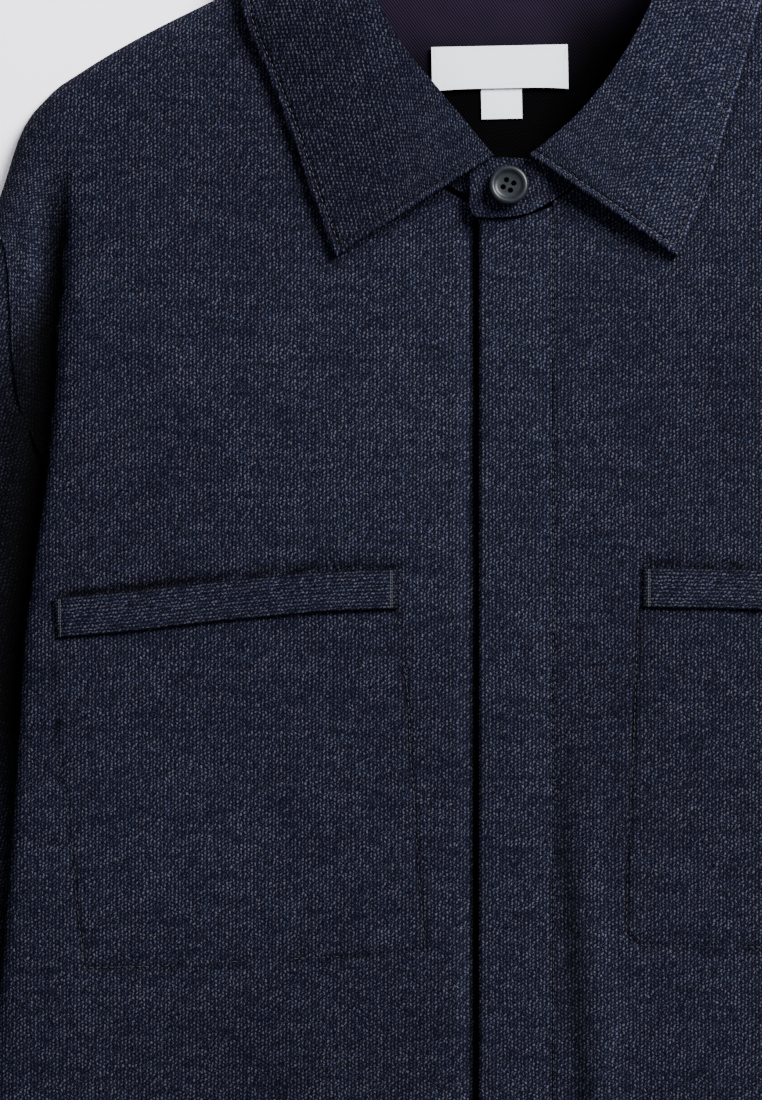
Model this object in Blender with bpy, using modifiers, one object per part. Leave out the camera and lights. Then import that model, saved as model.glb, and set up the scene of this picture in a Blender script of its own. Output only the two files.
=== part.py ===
"""Shirt jacket in heavy marled knit, buttoned at the collar stand and laid flat on its back.

Lengths in the tables are millimetres. "side" is the distance from the centre front,
"down" the distance below a level 66 mm under the top of the collar, and z the height.
Each half is worked out for one side and placed by its sign: +1 is the wearer's left.
"""
import math

import bpy
import numpy as np

MM = 0.001

# Driving sizes
CLOTH = 2.0
SEAM = 0.3
COLLAR_TOP = -66.0
HEM = 735.0
CUFF = 690.0
MIDDLE_DOWN = (COLLAR_TOP + HEM) / 2
BODY_TOP = 15.0
SHOULDER_TOP = 13.0
SLEEVE_TOP = 8.2
SLEEVE_FLAT = 4.3
BACK_LIFT = 4.6
NECK_LIFT = 3.8
VALLEY = 4.6
SIDE_FOOT = 5.6
FOLD_HEIGHT = 3.6
SIDE_ROLL = 13.0
SHOULDER_ROLL = 15.0
SLEEVE_ROLL = 9.0
PLACKET_EDGE = -14.1
PLACKET_SEAM = 19.4
PLACKET_THICK = 3.8
PLACKET_TOP = 16.2
UNDERLAP = 14.0
LEAF_THICK = 2.8
STAND_THICK = 2.2
LINING_THICK = 1.0
WELT_THICK = 1.7
LABEL_THICK = 0.6
BUTTON_RADIUS = 9.0
BUTTON_HEIGHT = 3.2
BUTTON_HOLE = 1.1
BUTTON_PITCH = 2.55
BUTTON_PLACE = (-0.9, 85.0)
BUTTON_SEAT = 20.1
BUTTON_TILT = (math.radians(-6.0), 0.0, 0.0)

# Outline of shoulder and sleeve
OUTLINE = [
    ("side", "down"),
    (93.0, -22.0), (112.0, -13.5), (139.0, -0.4), (162.0, 11.0), (182.0, 22.0), (198.0, 32.0),
    (206.5, 37.8), (213.5, 44.5), (219.5, 51.5), (225.0, 62.0), (230.6, 80.0), (237.3, 102.0),
    (247.0, 142.0), (256.0, 195.0), (264.0, 265.0), (272.0, 400.0), (279.0, 540.0), (286.0, CUFF),
]
SHOULDER_TIP = (237.3, 102.0)
SLEEVE_TIP = (238.6, 106.5)
SEAM_EASE = np.interp(np.linspace(0, 1, 24), [0, 0.35, 0.5, 0.7, 0.95, 1], [2.8, 2.8, 4.4, 3.6, 2.8, 0.0])
LOWER_SEAM_EASE = np.interp(np.linspace(0, 1, 24), [0, 0.95, 1], [2.0, 2.0, 0.0])

# Neck seam of the fronts, from the centre to the shoulder
NECK = [
    ("side", "down"),
    (0.0, 98.6), (13.0, 94.5), (26.0, 88.0), (50.0, 70.0), (72.0, 43.0), (86.0, 14.0), (93.0, -22.0),
]
BACK_NECK = [("side", "down"), (0.0, -36.0), (40.0, -34.5), (64.0, -31.0), (77.0, -25.0), (91.0, -14.5)]

# Visible edge of the body beside the sleeve
BODY_EDGE = [
    ("down", "side"),
    (60.0, 200.0), (97.0, 201.5), (142.0, 204.5), (199.0, 209.0), (253.0, 216.0), (286.0, 220.5),
    (333.0, 223.6), (359.0, 225.0), (500.0, 236.5), (HEM, 258.0),
]

# Armhole seams: front one over the sleeve, back one under the body
FRONT_ARMHOLE = [
    ("side", "down"),
    SHOULDER_TIP, (230.4, 110.5), (228.2, 128.0), (227.0, 158.0), (224.0, 182.0), (218.0, 199.0), (211.4, 214.0),
]
BACK_ARMHOLE = [
    ("side", "down"), (231.0, 98.5), (218.0, 107.0), (209.5, 120.0), (201.0, 138.0), (201.5, 178.0),
]
UNDERARM = (95.0, 252.0)
SLEEVE_INNER = [("side", "down"), UNDERARM, (108.0, 380.0), (128.0, 520.0), (160.0, CUFF)]

# Soft creases of the fronts: a line from start to end, its height and half width
CREASES = [
    ("side_a", "down_a", "side_b", "down_b", "height", "width"),
    (25.0, 350.0, 27.0, 735.0, -1.5, 6.0),
    (42.0, 370.0, 46.0, 735.0, 0.9, 9.0),
    (-150.0, 420.0, -60.0, 640.0, -0.9, 22.0),
    (-190.0, 120.0, -120.0, 215.0, 0.7, 20.0),
    (130.0, 500.0, 190.0, 690.0, -0.9, 24.0),
    (-110.0, 560.0, -120.0, 735.0, 1.0, 20.0),
    (95.0, 110.0, 170.0, 205.0, 0.8, 24.0),
]

# Collar, from the front opening round to the centre back, for the wearer's left and right
COLLAR = [
    ("roll_l", "roll_r", "roll_down", "roll_z", "edge_l", "edge_r", "edge_down", "edge_z",
     "seam_side", "seam_down", "seam_z"),
    (8.2, 7.7, 71.5, 24.0, 75.8, 79.5, 117.0, 0.0, 8.0, 94.4, 15.0),
    (27.0, 20.8, 56.0, 25.5, 87.8, 89.8, 90.0, 0.0, 25.0, 85.6, 14.8),
    (41.2, 34.2, 40.0, 26.5, 97.2, 99.3, 62.0, 0.0, 49.0, 69.2, 14.6),
    (55.0, 51.0, 19.0, 27.5, 105.5, 111.0, 32.0, 0.0, 70.6, 43.0, 14.4),
    (64.5, 61.4, 0.0, 28.0, 113.0, 121.5, 6.0, 17.6, 83.0, 14.0, 14.0),
    (74.5, 73.0, -26.0, 27.0, 119.0, 124.0, -21.0, 10.5, 87.4, -10.0, 13.0),
    (74.0, 74.0, -45.0, 23.5, 108.0, 110.0, -43.0, 4.6, 84.0, -26.4, 9.0),
    (59.0, 59.0, -57.0, 18.5, 80.0, 80.0, -46.0, 0.3, 66.0, -33.4, 5.6),
    (33.0, 33.0, -63.5, 15.0, 42.0, 42.0, -35.0, 0.3, 36.0, -36.6, 4.4),
    (0.0, 0.0, -65.9, 14.0, 0.0, 0.0, -27.0, 0.3, 0.0, -37.6, 4.2),
]

# Upper edge of the right pocket welt, and the same edge on the left front
WELT_RIGHT = [
    ("side", "down"), (-207.3, 271.8), (-177.0, 269.2), (-147.0, 265.8), (-116.0, 262.6), (-80.0, 259.6), (-51.4, 258.6),
]
WELT_LEFT = [
    ("side", "down"), (60.5, 258.0), (107.7, 258.8), (140.0, 261.4), (170.0, 265.6), (190.0, 268.6), (206.0, 270.8),
]
WELT_HEIGHT = 18.4
MAIN_LABEL = (-4.2, 29.0, 62.3, 19.4)
SIZE_LABEL = (-3.4, 43.6, 18.6, 18.0)
LABEL_TURN = math.radians(1.2)

COLOURS = {
    "knit": (0.017, 0.021, 0.038, 0.92),
    "lining": (0.009, 0.006, 0.015, 0.6),
    "label": (0.68, 0.70, 0.73, 0.8),
    "button": (0.055, 0.068, 0.09, 0.35),
}


def rows(table):
    """Return the rows of a table without its heading, as an array."""
    return np.array(table[1:], dtype=float)


def ease(start, end, value):
    """Rise smoothly from 0 at start to 1 at end."""
    t = np.clip((np.asarray(value, dtype=float) - start) / (end - start), 0.0, 1.0)
    return t * t * (3.0 - 2.0 * t)


def bulge(distance, reach):
    """Quarter round: 0 at the edge, 1 from reach inwards."""
    t = np.clip(distance / reach, 0.0, 1.0)
    return np.sqrt(np.clip(1.0 - (1.0 - t) ** 2, 0.0, 1.0))


def slopes(x, y):
    """Slopes of a smooth graph that never overshoots its points."""
    step = np.diff(x)
    rise = np.diff(y) / step
    result = np.zeros_like(y)
    same = rise[:-1] * rise[1:] > 0
    wa = 2 * step[1:] + step[:-1]
    wb = step[1:] + 2 * step[:-1]
    mean = np.zeros_like(rise[1:])
    mean[same] = (wa + wb)[same] / (wa[same] / rise[:-1][same] + wb[same] / rise[1:][same])
    result[1:-1] = mean
    result[0] = rise[0]
    result[-1] = rise[-1]
    return result


def graph(x, y, at):
    """Read a smooth graph through the points (x, y)."""
    x = np.asarray(x, dtype=float)
    y = np.asarray(y, dtype=float)
    at = np.clip(at, x[0], x[-1])
    i = np.clip(np.searchsorted(x, at, side="right") - 1, 0, len(x) - 2)
    h = x[i + 1] - x[i]
    t = (at - x[i]) / h
    m = slopes(x, y)
    return ((1 + 2 * t) * (1 - t) ** 2 * y[i] + t * (1 - t) ** 2 * h * m[i]
            + t * t * (3 - 2 * t) * y[i + 1] + t * t * (t - 1) * h * m[i + 1])


def along(points, at):
    """Read a smooth line through points at shares 0 to 1 of its length."""
    points = np.asarray(points, dtype=float)
    length = np.concatenate(([0.0], np.cumsum(np.linalg.norm(np.diff(points, axis=0), axis=1))))
    length /= length[-1]
    return np.stack([graph(length, points[:, k], np.asarray(at)) for k in range(points.shape[1])], axis=-1)


def body_edge(down):
    """Distance of the body's visible edge from the centre."""
    table = rows(BODY_EDGE)
    return graph(table[:, 0], table[:, 1], down)


OUTLINE_FINE = along(rows(OUTLINE), np.linspace(0, 1, 400))


def outline_distance(side, down):
    """Distance inside the shoulder and sleeve outline."""
    a = OUTLINE_FINE[:-1]
    b = OUTLINE_FINE[1:]
    p = np.stack([np.abs(side), down], axis=-1)[..., None, :]
    d = b - a
    t = np.clip(((p - a) * d).sum(-1) / (d * d).sum(-1), 0, 1)
    return np.sqrt((((a + t[..., None] * d) - p) ** 2).sum(-1)).min(-1)


def sleeve_zone(side, down):
    """1 where the back lies on a sleeve, 0 where it lies on the floor."""
    side = np.abs(side)
    inner = rows(SLEEVE_INNER)
    inner_side = graph(inner[:, 1], inner[:, 0], down)
    start = 178.0 + (203.0 - side) * (UNDERARM[1] - 178.0) / (203.0 - UNDERARM[0])
    above = ease(start - 40, start - 12, down)
    return ease(inner_side - 40, inner_side - 12, side) * above * (1 - ease(CUFF + 12, CUFF + 38, down))


def back_height(side, down):
    """Underside of the back panel: it lies on the floor, the sleeves and the collar's fall."""
    neck = NECK_LIFT * (1 - ease(-18, 14, down)) * ease(98, 78, np.abs(side))
    return np.maximum(BACK_LIFT * sleeve_zone(side, down), neck)


def creases(side, down):
    """Soft troughs and ridges of the fronts."""
    total = np.zeros(np.broadcast(side, down).shape)
    for side_a, down_a, side_b, down_b, height, width in rows(CREASES):
        run = np.array([side_b - side_a, down_b - down_a])
        t = ((side - side_a) * run[0] + (down - down_a) * run[1]) / (run @ run)
        clear = np.clip(t, 0, 1)
        off = np.hypot(side - side_a - clear * run[0], down - down_a - clear * run[1])
        total = total + height * np.exp(-(off / width) ** 2) * ease(0, 0.35, t)
    return total


def strip_height(down):
    """Height of the sleeve's visible strip, falling from the shoulder."""
    return SHOULDER_TOP - (SHOULDER_TOP - SLEEVE_TOP) * ease(95, 210, down)


def sleeve_height(side, down):
    """Upper face of a sleeve: flat under the body, round beside it."""
    side = np.abs(side)
    edge = body_edge(down)
    level = SLEEVE_FLAT + (strip_height(down) - SLEEVE_FLAT) * ease(edge + 8.0, edge + 16.5, side)
    return FOLD_HEIGHT + (level - FOLD_HEIGHT) * bulge(outline_distance(side, down), SLEEVE_ROLL)


def front_height(side, down):
    """Upper face of a front, with the fold between body and sleeve."""
    size = np.abs(side)
    edge = body_edge(down)
    top = SHOULDER_TOP + (BODY_TOP - SHOULDER_TOP) * ease(60, 200, down) + creases(side, down)
    top = top + 0.8 * np.cos(np.pi * np.clip(size / 230, 0, 1)) + 0.6 * ease(25, 0, size)
    base = 0.5 + 3.2 * ease(84, 101, down)
    plain = base + (top - base) * bulge(outline_distance(side, down), SHOULDER_ROLL)
    foot = VALLEY + (SIDE_FOOT - VALLEY) * ease(196, 212, down)
    foot = foot + (0.9 - foot) * ease(CUFF + 12, CUFF + 38, down)
    wall = foot + (top - foot) * bulge(np.maximum(edge + 1.0 - size, 0), SIDE_ROLL)
    strip = foot + (sleeve_height(side, down) - foot) * ease(edge + 8.0, edge + 16.5, size)
    folded = np.where(size < edge + 1.0, wall, strip)
    share = ease(66, 112, down)
    return plain * (1 - share) + folded * share


def right_front_height(side, down):
    """The right front sinks where the fly placket covers it."""
    dip = ease(-24, -15, side) * ease(90, 100, down)
    floor = PLACKET_TOP - PLACKET_THICK - SEAM - 0.2
    return front_height(side, down) * (1 - dip) + np.minimum(front_height(side, down), floor) * dip


def left_front_height(side, down):
    """The left front rises to the placket's face beside its seam."""
    rise = ease(60, 22, side) * ease(60, 110, down)
    return np.maximum(front_height(side, down), front_height(side, down) * (1 - rise) + (PLACKET_TOP - 0.3) * rise)


def world(side, down, z):
    """Turn garment measures into metres about the middle of the part."""
    side, down, z = np.broadcast_arrays(side, down, z)
    return np.stack([side, MIDDLE_DOWN - down, z], axis=-1) * MM


def material(name):
    """Make the material of one kind of cloth or plastic."""
    found = bpy.data.materials.get(name)
    if found:
        return found
    red, green, blue, roughness = COLOURS[name]
    made = bpy.data.materials.new(name)
    made.use_nodes = True
    shader = made.node_tree.nodes["Principled BSDF"]
    shader.inputs["Base Color"].default_value = (red, green, blue, 1.0)
    shader.inputs["Roughness"].default_value = roughness
    shader.inputs["Metallic"].default_value = 0.0
    return made


def add_object(name, mesh, slot):
    """Put a mesh in the garment's collection under its own name."""
    made = bpy.data.objects.new(name, mesh)
    mesh.materials.append(material(slot))
    mesh.shade_smooth()
    mesh.set_sharp_from_angle(angle=math.radians(50))
    GARMENT.objects.link(made)
    return made


def sheet(name, grid, thickness, slot, flip=False):
    """Loft a wall from a grid of outer points, its thickness laid inwards."""
    grid = np.asarray(grid)
    count_a, count_b = grid.shape[:2]
    mesh = bpy.data.meshes.new(name)
    faces = []
    for i in range(count_a - 1):
        for j in range(count_b - 1):
            a = i * count_b + j
            face = (a, a + 1, a + count_b + 1, a + count_b)
            faces.append(face[::-1] if flip else face)
    mesh.from_pydata(grid.reshape(-1, 3).tolist(), [], faces)
    made = add_object(name, mesh, slot)
    wall = made.modifiers.new("wall", "SOLIDIFY")
    wall.thickness = thickness * MM
    wall.offset = -1.0
    return made


def coons(top, bottom, left, right, s, t, top_line=None):
    """Fill the area between four boundary lines, in plan."""
    bottom_line = along(bottom, s)
    top_line = along(top, s) if top_line is None else top_line
    left_line, right_line = along(left, t), along(right, t)
    s = np.asarray(s)[None, :, None]
    t = np.asarray(t)[:, None, None]
    corners = ((1 - s) * (1 - t) * top_line[0] + s * (1 - t) * top_line[-1]
               + (1 - s) * t * bottom_line[0] + s * t * bottom_line[-1])
    return ((1 - t) * top_line[None] + t * bottom_line[None]
            + (1 - s) * left_line[:, None] + s * right_line[:, None] - corners)


def graded(first, total, near, far):
    """Shares from 0 to 1 that start with the distances in near and grow evenly after."""
    steps = np.array(near) / total
    rest = np.linspace(steps[-1], 1.0, far + 1)[1:]
    return np.concatenate((steps, rest)) if first else (1 - np.concatenate((steps, rest)))[::-1]


ROLL_STEPS = [0.0, 0.8, 2.6, 5.4, 9.5, 15.0]
ARMHOLE_STEPS = [24.0, 34.0, 44.0, 54.0, 64.0, 74.0, 84.0, 94.0, 104.0, 114.0, 124.0, 136.0]
FLY_STEPS = np.array([0.0, 12.5, 15.5, 19.0, 23.5, 30.0])
NECK_COLUMNS = np.array([72.0, 80.0, 86.0, 90.0, 93.0, 97.0])


def shoulder_line():
    """Outline of the shoulder from the neck to its tip."""
    table = rows(OUTLINE)
    return table[table[:, 1] <= SHOULDER_TIP[1]]


def inward(line, distance):
    """Move an outline towards the garment's middle."""
    fine = along(line, np.linspace(0, 1, 24))
    run = np.gradient(fine, axis=0)
    run /= np.linalg.norm(run, axis=1)[:, None]
    return fine + np.stack([-run[:, 1], run[:, 0]], axis=1) * np.broadcast_to(distance, 24)[:, None]


def side_line(inset=0.0):
    """Side edge of the body from the foot of the fold to the hem."""
    down = np.linspace(226.0, HEM, 9)
    return np.stack([body_edge(down) + 1.0 - inset, down], axis=1)


def front(name, sign, centre, height):
    """One front: neckline and shoulder above, armhole and side seam outside."""
    neck = rows(NECK)
    start = np.array([[centre, float(graph(neck[:, 0], neck[:, 1], max(centre, 0.0))) + (1.4 if centre < 0 else 0.0)]])
    neck = np.concatenate((start, neck[neck[:, 0] > max(centre, -1.0) + 3.0]))
    shoulder = shoulder_line()
    side = np.concatenate((rows(FRONT_ARMHOLE), side_line()))
    left = np.array([start[0], [centre, HEM]])
    bottom = np.array([[centre, HEM], side[-1]])
    width = SHOULDER_TIP[0] - centre
    s = graded(False, width, ROLL_STEPS, 9)
    added = np.concatenate((FLY_STEPS - centre, NECK_COLUMNS - centre)) / width
    added = added[added > 0.02]
    spare = np.abs(s[:, None] - added[None]).min(1) > 0.016
    s = np.sort(np.concatenate((s[spare | (s == 0) | (s > 0.9)], added)))
    side_at = centre + s * width
    at_neck = graph(neck[:, 0], neck[:, 1], side_at)
    down_at = np.where(side_at <= neck[-1, 0] + 0.01, at_neck, graph(shoulder[:, 0], shoulder[:, 1], side_at))
    top_line = np.stack([side_at, down_at], axis=1)
    t = graded(True, 640.0, ROLL_STEPS + ARMHOLE_STEPS, 12)
    plan = coons(None, bottom, left, side, s, t, top_line)
    across, down = plan[..., 0] * sign, plan[..., 1]
    return sheet(name, world(across, down, height(across, down)), CLOTH, "knit", flip=sign > 0)


def back():
    """The back, one piece, half of it mirrored."""
    armhole = np.concatenate((rows(BACK_ARMHOLE), side_line(5.5)))
    top = np.concatenate((rows(BACK_NECK), inward(shoulder_line(), np.linspace(9.0, 4.4, 24))[7:-1], rows(BACK_ARMHOLE)[:1]))
    left = np.array([[0.0, top[0][1]], [0.0, HEM]])
    bottom = np.array([[0.0, HEM], armhole[-1]])
    t = graded(True, 760.0, [0.0, 7.0, 14.0, 21.0, 28.0, 36.0, 46.0, 60.0], 24)
    plan = coons(top, bottom, left, armhole, np.linspace(0, 1, 13), t)
    side, down = plan[..., 0], plan[..., 1]
    made = sheet("back_panel", world(side, down, back_height(side, down) + CLOTH), CLOTH, "knit", flip=True)
    mirror = made.modifiers.new("both halves", "MIRROR")
    mirror.merge_threshold = 0.0001
    made.modifiers.move(1, 0)
    return made


def sleeve(name, sign):
    """One sleeve: upper layer, outer fold and lower layer, open along its underarm seam."""
    outer = rows(OUTLINE)
    outer = np.concatenate(([SLEEVE_TIP], outer[outer[:, 1] > SHOULDER_TIP[1]]))
    inner = rows(SLEEVE_INNER)
    cuff = np.array([inner[-1], outer[-1]])
    upper_seam = np.concatenate(([UNDERARM], [(198.0, 223.0)], rows(FRONT_ARMHOLE)[1:-1][::-1], [SLEEVE_TIP]))
    lower_seam = np.concatenate(([UNDERARM], rows(BACK_ARMHOLE)[1:][::-1], [SLEEVE_TIP]))
    t = np.concatenate(([0.0, 0.02, 0.05, 0.09, 0.14, 0.2], np.linspace(0.2, 1.0, 13)[1:]))
    s_upper = graded(False, 170.0, [0.0, 0.6, 2.0, 4.5, 8.5, 14.0, 20.0, 26.0, 32.0, 38.0, 44.0, 51.0, 60.0, 72.0, 86.0], 3)
    s_lower = graded(False, 170.0, [0.0, 1.0, 3.0], 6)
    upper = coons(inward(upper_seam, SEAM_EASE), cuff, inner, outer, s_upper, t)
    lower = coons(inward(lower_seam, LOWER_SEAM_EASE), cuff, inner, outer, s_lower, t)
    lower_z = FOLD_HEIGHT * (1 - bulge(outline_distance(lower[..., 0], lower[..., 1]), 3.0))
    high = world(upper[..., 0] * sign, upper[..., 1], sleeve_height(upper[..., 0], upper[..., 1]))
    low = world(lower[..., 0] * sign, lower[..., 1], lower_z)
    ring = np.concatenate((high, low[:, -2::-1]), axis=1)
    return sheet(name, ring, CLOTH, "knit", flip=sign > 0)


def placket():
    """Doubled strip that covers the buttons, from the collar stand to the hem."""
    neck = rows(NECK)
    across = np.array([PLACKET_EDGE, PLACKET_EDGE + 0.7, PLACKET_EDGE + 2.2, -4.0, 6.0, 13.0, PLACKET_SEAM - SEAM])
    top_line = graph(neck[:, 0], neck[:, 1], np.abs(across)) * (across > 0) + 99.8 * (across <= 0)
    top_line = np.where(across > 0, top_line + 1.8, top_line)
    share = np.concatenate((np.linspace(0, 0.2, 6), np.linspace(0.2, 1, 13)[1:]))[:, None]
    down = top_line[None] + share * (HEM - top_line[None])
    edge = 1.3 * (1 - bulge(across - PLACKET_EDGE, 2.2))
    z = PLACKET_TOP - edge - 0.3 * ease(10, 19, across)
    return sheet("fly_placket", world(across[None], down, z[None]), PLACKET_THICK, "knit", flip=True)


def collar_rows(sign):
    """Named collar measures of one side, as columns."""
    table = rows(COLLAR)
    columns = {name: table[:, k] for k, name in enumerate(COLLAR[0])}
    pick = "l" if sign > 0 else "r"
    roll = np.stack([columns["roll_" + pick] * sign, columns["roll_down"], columns["roll_z"]], axis=1)
    edge = np.stack([columns["edge_" + pick] * sign, columns["edge_down"], columns["edge_z"]], axis=1)
    seam = np.stack([columns["seam_side"] * sign, columns["seam_down"], columns["seam_z"]], axis=1)
    height = left_front_height if sign > 0 else right_front_height
    lying = edge[:, 2] == 0.0
    edge[lying, 2] = height(edge[lying, 0], edge[lying, 1]) + SEAM + LEAF_THICK + 0.3
    return roll, edge, seam


def round_the_neck(right, left, count):
    """Join one side's stations, back to front, to the other's and smooth them."""
    line = np.concatenate((right, left[::-1][1:]))
    share = np.linspace(0, 1, len(line))
    at = np.linspace(0, 1, count)
    return np.stack([graph(share, line[:, k], at) for k in range(3)], axis=1)


def leaf_grid():
    """Outer face of the collar leaf, from its roll to its edge."""
    right, left = collar_rows(-1), collar_rows(1)
    roll = round_the_neck(right[0], left[0], 37)
    edge = round_the_neck(right[1], left[1], 37)
    back = ease(0.30, 0.45, np.linspace(0, 1, 37)) * (1 - ease(0.55, 0.70, np.linspace(0, 1, 37)))
    share = np.array([0.0, 0.04, 0.14, 0.35, 0.6, 0.85, 1.0])
    grid = roll[:, None] + share[None, :, None] * (edge - roll)[:, None]
    bow = 4 * share * (1 - share)
    grid[..., 2] += (2.0 * (1 - back))[:, None] * bow[None]
    drop = np.sqrt(share) - share
    grid[..., 2] -= (back * 26.0)[:, None] * drop[None]
    grid[..., 1] -= (back * 5.0)[:, None] * bow[None] * 0.4
    return grid


def collar_leaf():
    """The turned-down leaf, one piece round the neck."""
    grid = leaf_grid()
    floor = 0.25
    grid[..., 2] = np.maximum(grid[..., 2], floor)
    return sheet("collar_leaf", world(grid[..., 0], grid[..., 1], grid[..., 2]), LEAF_THICK, "knit", flip=True)


def surface_normals(grid):
    """Outer normals of the leaf's grid."""
    normal = np.cross(np.gradient(grid, axis=0), np.gradient(grid, axis=1))
    normal /= np.linalg.norm(normal, axis=2)[..., None]
    return normal


def collar_stand():
    """Band from the neck seam to the leaf, its left end lapped over its right end."""
    right, left = collar_rows(-1), collar_rows(1)
    seam = round_the_neck(right[2], left[2], 37)
    leaf = leaf_grid()
    normal = surface_normals(leaf * [1, -1, 1])[:, 1] * [1, -1, 1]
    up = leaf[:, 1] - normal * (LEAF_THICK + 0.9)
    lap = ease(0.93, 1.0, np.linspace(0, 1, 37))
    seam[:, 2] += 2.9 * lap
    share = np.array([0.0, 0.25, 0.5, 0.75, 1.0])
    grid = seam[:, None] + share[None, :, None] * (up - seam)[:, None]
    under = grid[0] * [0, 1, 1] + [UNDERLAP - 1.0, 1.0, 0.0]
    under_mid = grid[0] * [0, 1, 1] + [2.0, 0.8, 0.0]
    over = grid[-1] * [0, 1, 1]
    ends = [(-3.0, 2.0, -1.2), (-12.0, 2.8, -1.0), (-17.0, 2.2, 2.2), (-18.8, -2.2, 6.5)]
    laps = [over + [side, 0, 0] + np.linspace([0, low, 0], [0, high, 0], 5) for side, low, high in ends]
    flatter = share * 3.0
    for lap_row in laps:
        lap_row[:, 2] -= flatter * 0.4
    under[:, 2] = np.minimum(under[:, 2] - 0.4, grid[-1][:, 2] - STAND_THICK - 0.9)
    under_mid[:, 2] = np.minimum(under_mid[:, 2] - 0.3, grid[-1][:, 2] - STAND_THICK - 0.8)
    grid = np.concatenate(([under, under_mid], grid, laps))
    return sheet("collar_stand", world(grid[..., 0], grid[..., 1], grid[..., 2]), STAND_THICK, "knit", flip=False)


def lining_top(side, down):
    """Upper face of the neck lining, on the back panel."""
    return back_height(side, down) + CLOTH + SEAM + 0.15 + LINING_THICK


def neck_lining():
    """Twill lining of the inner back neck."""
    neck = rows(BACK_NECK)
    side = np.linspace(-76.0, 76.0, 13)
    top = graph(neck[:, 0], neck[:, 1], np.abs(side)) + 1.2
    bottom = 118.0 - 26.0 * (np.abs(side) / 76.0) ** 3
    share = np.array([0.0, 0.06, 0.12, 0.2, 0.3, 0.45, 0.65, 0.85, 1.0])[:, None]
    down = top[None] + share * (bottom - top)[None]
    return sheet("neck_lining", world(side[None], down, lining_top(side[None], down)), LINING_THICK, "lining", flip=True)


def label(name, place, lift):
    """A plain woven label, on the lining."""
    side, down, width, height = place
    across = np.linspace(-width / 2, width / 2, 5)[None]
    along_down = np.linspace(-height / 2, height / 2, 3)[:, None]
    x = side + across * math.cos(LABEL_TURN) + along_down * math.sin(LABEL_TURN)
    y = down - across * math.sin(LABEL_TURN) + along_down * math.cos(LABEL_TURN)
    z = lining_top(x, y) + lift + LABEL_THICK
    return sheet(name, world(x, y, z), LABEL_THICK, "label", flip=True)


def welt(name, edge, height):
    """Pocket welt on a front, its points those of the front, moved out."""
    line = along(rows(edge), np.linspace(0, 1, 13))
    run = np.gradient(line, axis=0)
    run /= np.linalg.norm(run, axis=1)[:, None]
    fall = np.stack([-run[:, 1], run[:, 0]], axis=1) * WELT_HEIGHT
    share = np.array([0.0, 0.12, 0.5, 0.88, 1.0])[:, None, None]
    plan = line[None] + share * fall[None]
    z = height(plan[..., 0], plan[..., 1]) + SEAM + 0.4 + WELT_THICK
    return sheet(name, world(plan[..., 0], plan[..., 1], z), WELT_THICK, "knit", flip=True)


def button():
    """Sewn-through button: turned disc with a raised rim and four holes."""
    profile = [
        (0.0, BUTTON_HEIGHT * 0.62), (5.6, BUTTON_HEIGHT * 0.62), (6.4, BUTTON_HEIGHT * 0.80), (7.2, BUTTON_HEIGHT),
        (8.2, BUTTON_HEIGHT * 0.95), (BUTTON_RADIUS, BUTTON_HEIGHT * 0.6), (8.6, BUTTON_HEIGHT * 0.25), (6.5, 0.0),
        (0.0, 0.0),
    ]
    mesh = bpy.data.meshes.new("profile")
    mesh.from_pydata([(r * MM, 0.0, z * MM) for r, z in profile], [(i, i + 1) for i in range(len(profile) - 1)], [])
    made = add_object("collar_button", mesh, "button")
    turn = made.modifiers.new("turned", "SCREW")
    turn.steps = turn.render_steps = 28
    turn.use_merge_vertices = True
    turn.merge_threshold = 0.00002
    for index in range(4):
        angle = math.radians(20.0 + 90.0 * index)
        place = (math.cos(angle) * BUTTON_PITCH * MM, math.sin(angle) * BUTTON_PITCH * MM, BUTTON_HEIGHT * MM / 2)
        bpy.ops.mesh.primitive_cylinder_add(vertices=12, radius=BUTTON_HOLE * MM, depth=BUTTON_HEIGHT * MM * 3,
                                            location=place)
        cutter = bpy.context.active_object
        cutter.name = f"button_hole_cutter_{index + 1}"
        cutter.hide_render = True
        cutter.display_type = "WIRE"
        for owner in list(cutter.users_collection):
            owner.objects.unlink(cutter)
        CUTTERS.objects.link(cutter)
        cutter.parent = made
        cut = made.modifiers.new(f"hole {index + 1}", "BOOLEAN")
        cut.operation = "DIFFERENCE"
        cut.object = cutter
    made.location = world(BUTTON_PLACE[0], BUTTON_PLACE[1], BUTTON_SEAT)
    made.rotation_euler = BUTTON_TILT
    return made


for old in list(bpy.data.objects):
    bpy.data.objects.remove(old)
GARMENT = bpy.data.collections.new("shirt_jacket")
CUTTERS = bpy.data.collections.new("cutters")
bpy.context.scene.collection.children.link(GARMENT)
bpy.context.scene.collection.children.link(CUTTERS)

back()
front("front_right", -1, -UNDERLAP, right_front_height)
front("front_left", 1, PLACKET_SEAM, left_front_height)
placket()
sleeve("sleeve_right", -1)
sleeve("sleeve_left", 1)
collar_stand()
collar_leaf()
neck_lining()
label("size_label", SIZE_LABEL, SEAM)
label("main_label", MAIN_LABEL, 2 * SEAM + LABEL_THICK)
welt("welt_right", WELT_RIGHT, right_front_height)
welt("welt_left", WELT_LEFT, left_front_height)
button()
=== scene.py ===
"""Looks of the shacket laid flat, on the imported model's solids.

Lengths in the tables are millimetres. "side" is the distance from the centre front, with the
wearer's left positive, "down" the distance below a level 66 mm under the top of the collar, and
z the height above the surface that the garment lies on.
"""
import logging
import math
from dataclasses import dataclass, field
from enum import Enum
from typing import Callable, Iterable, Sequence

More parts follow.
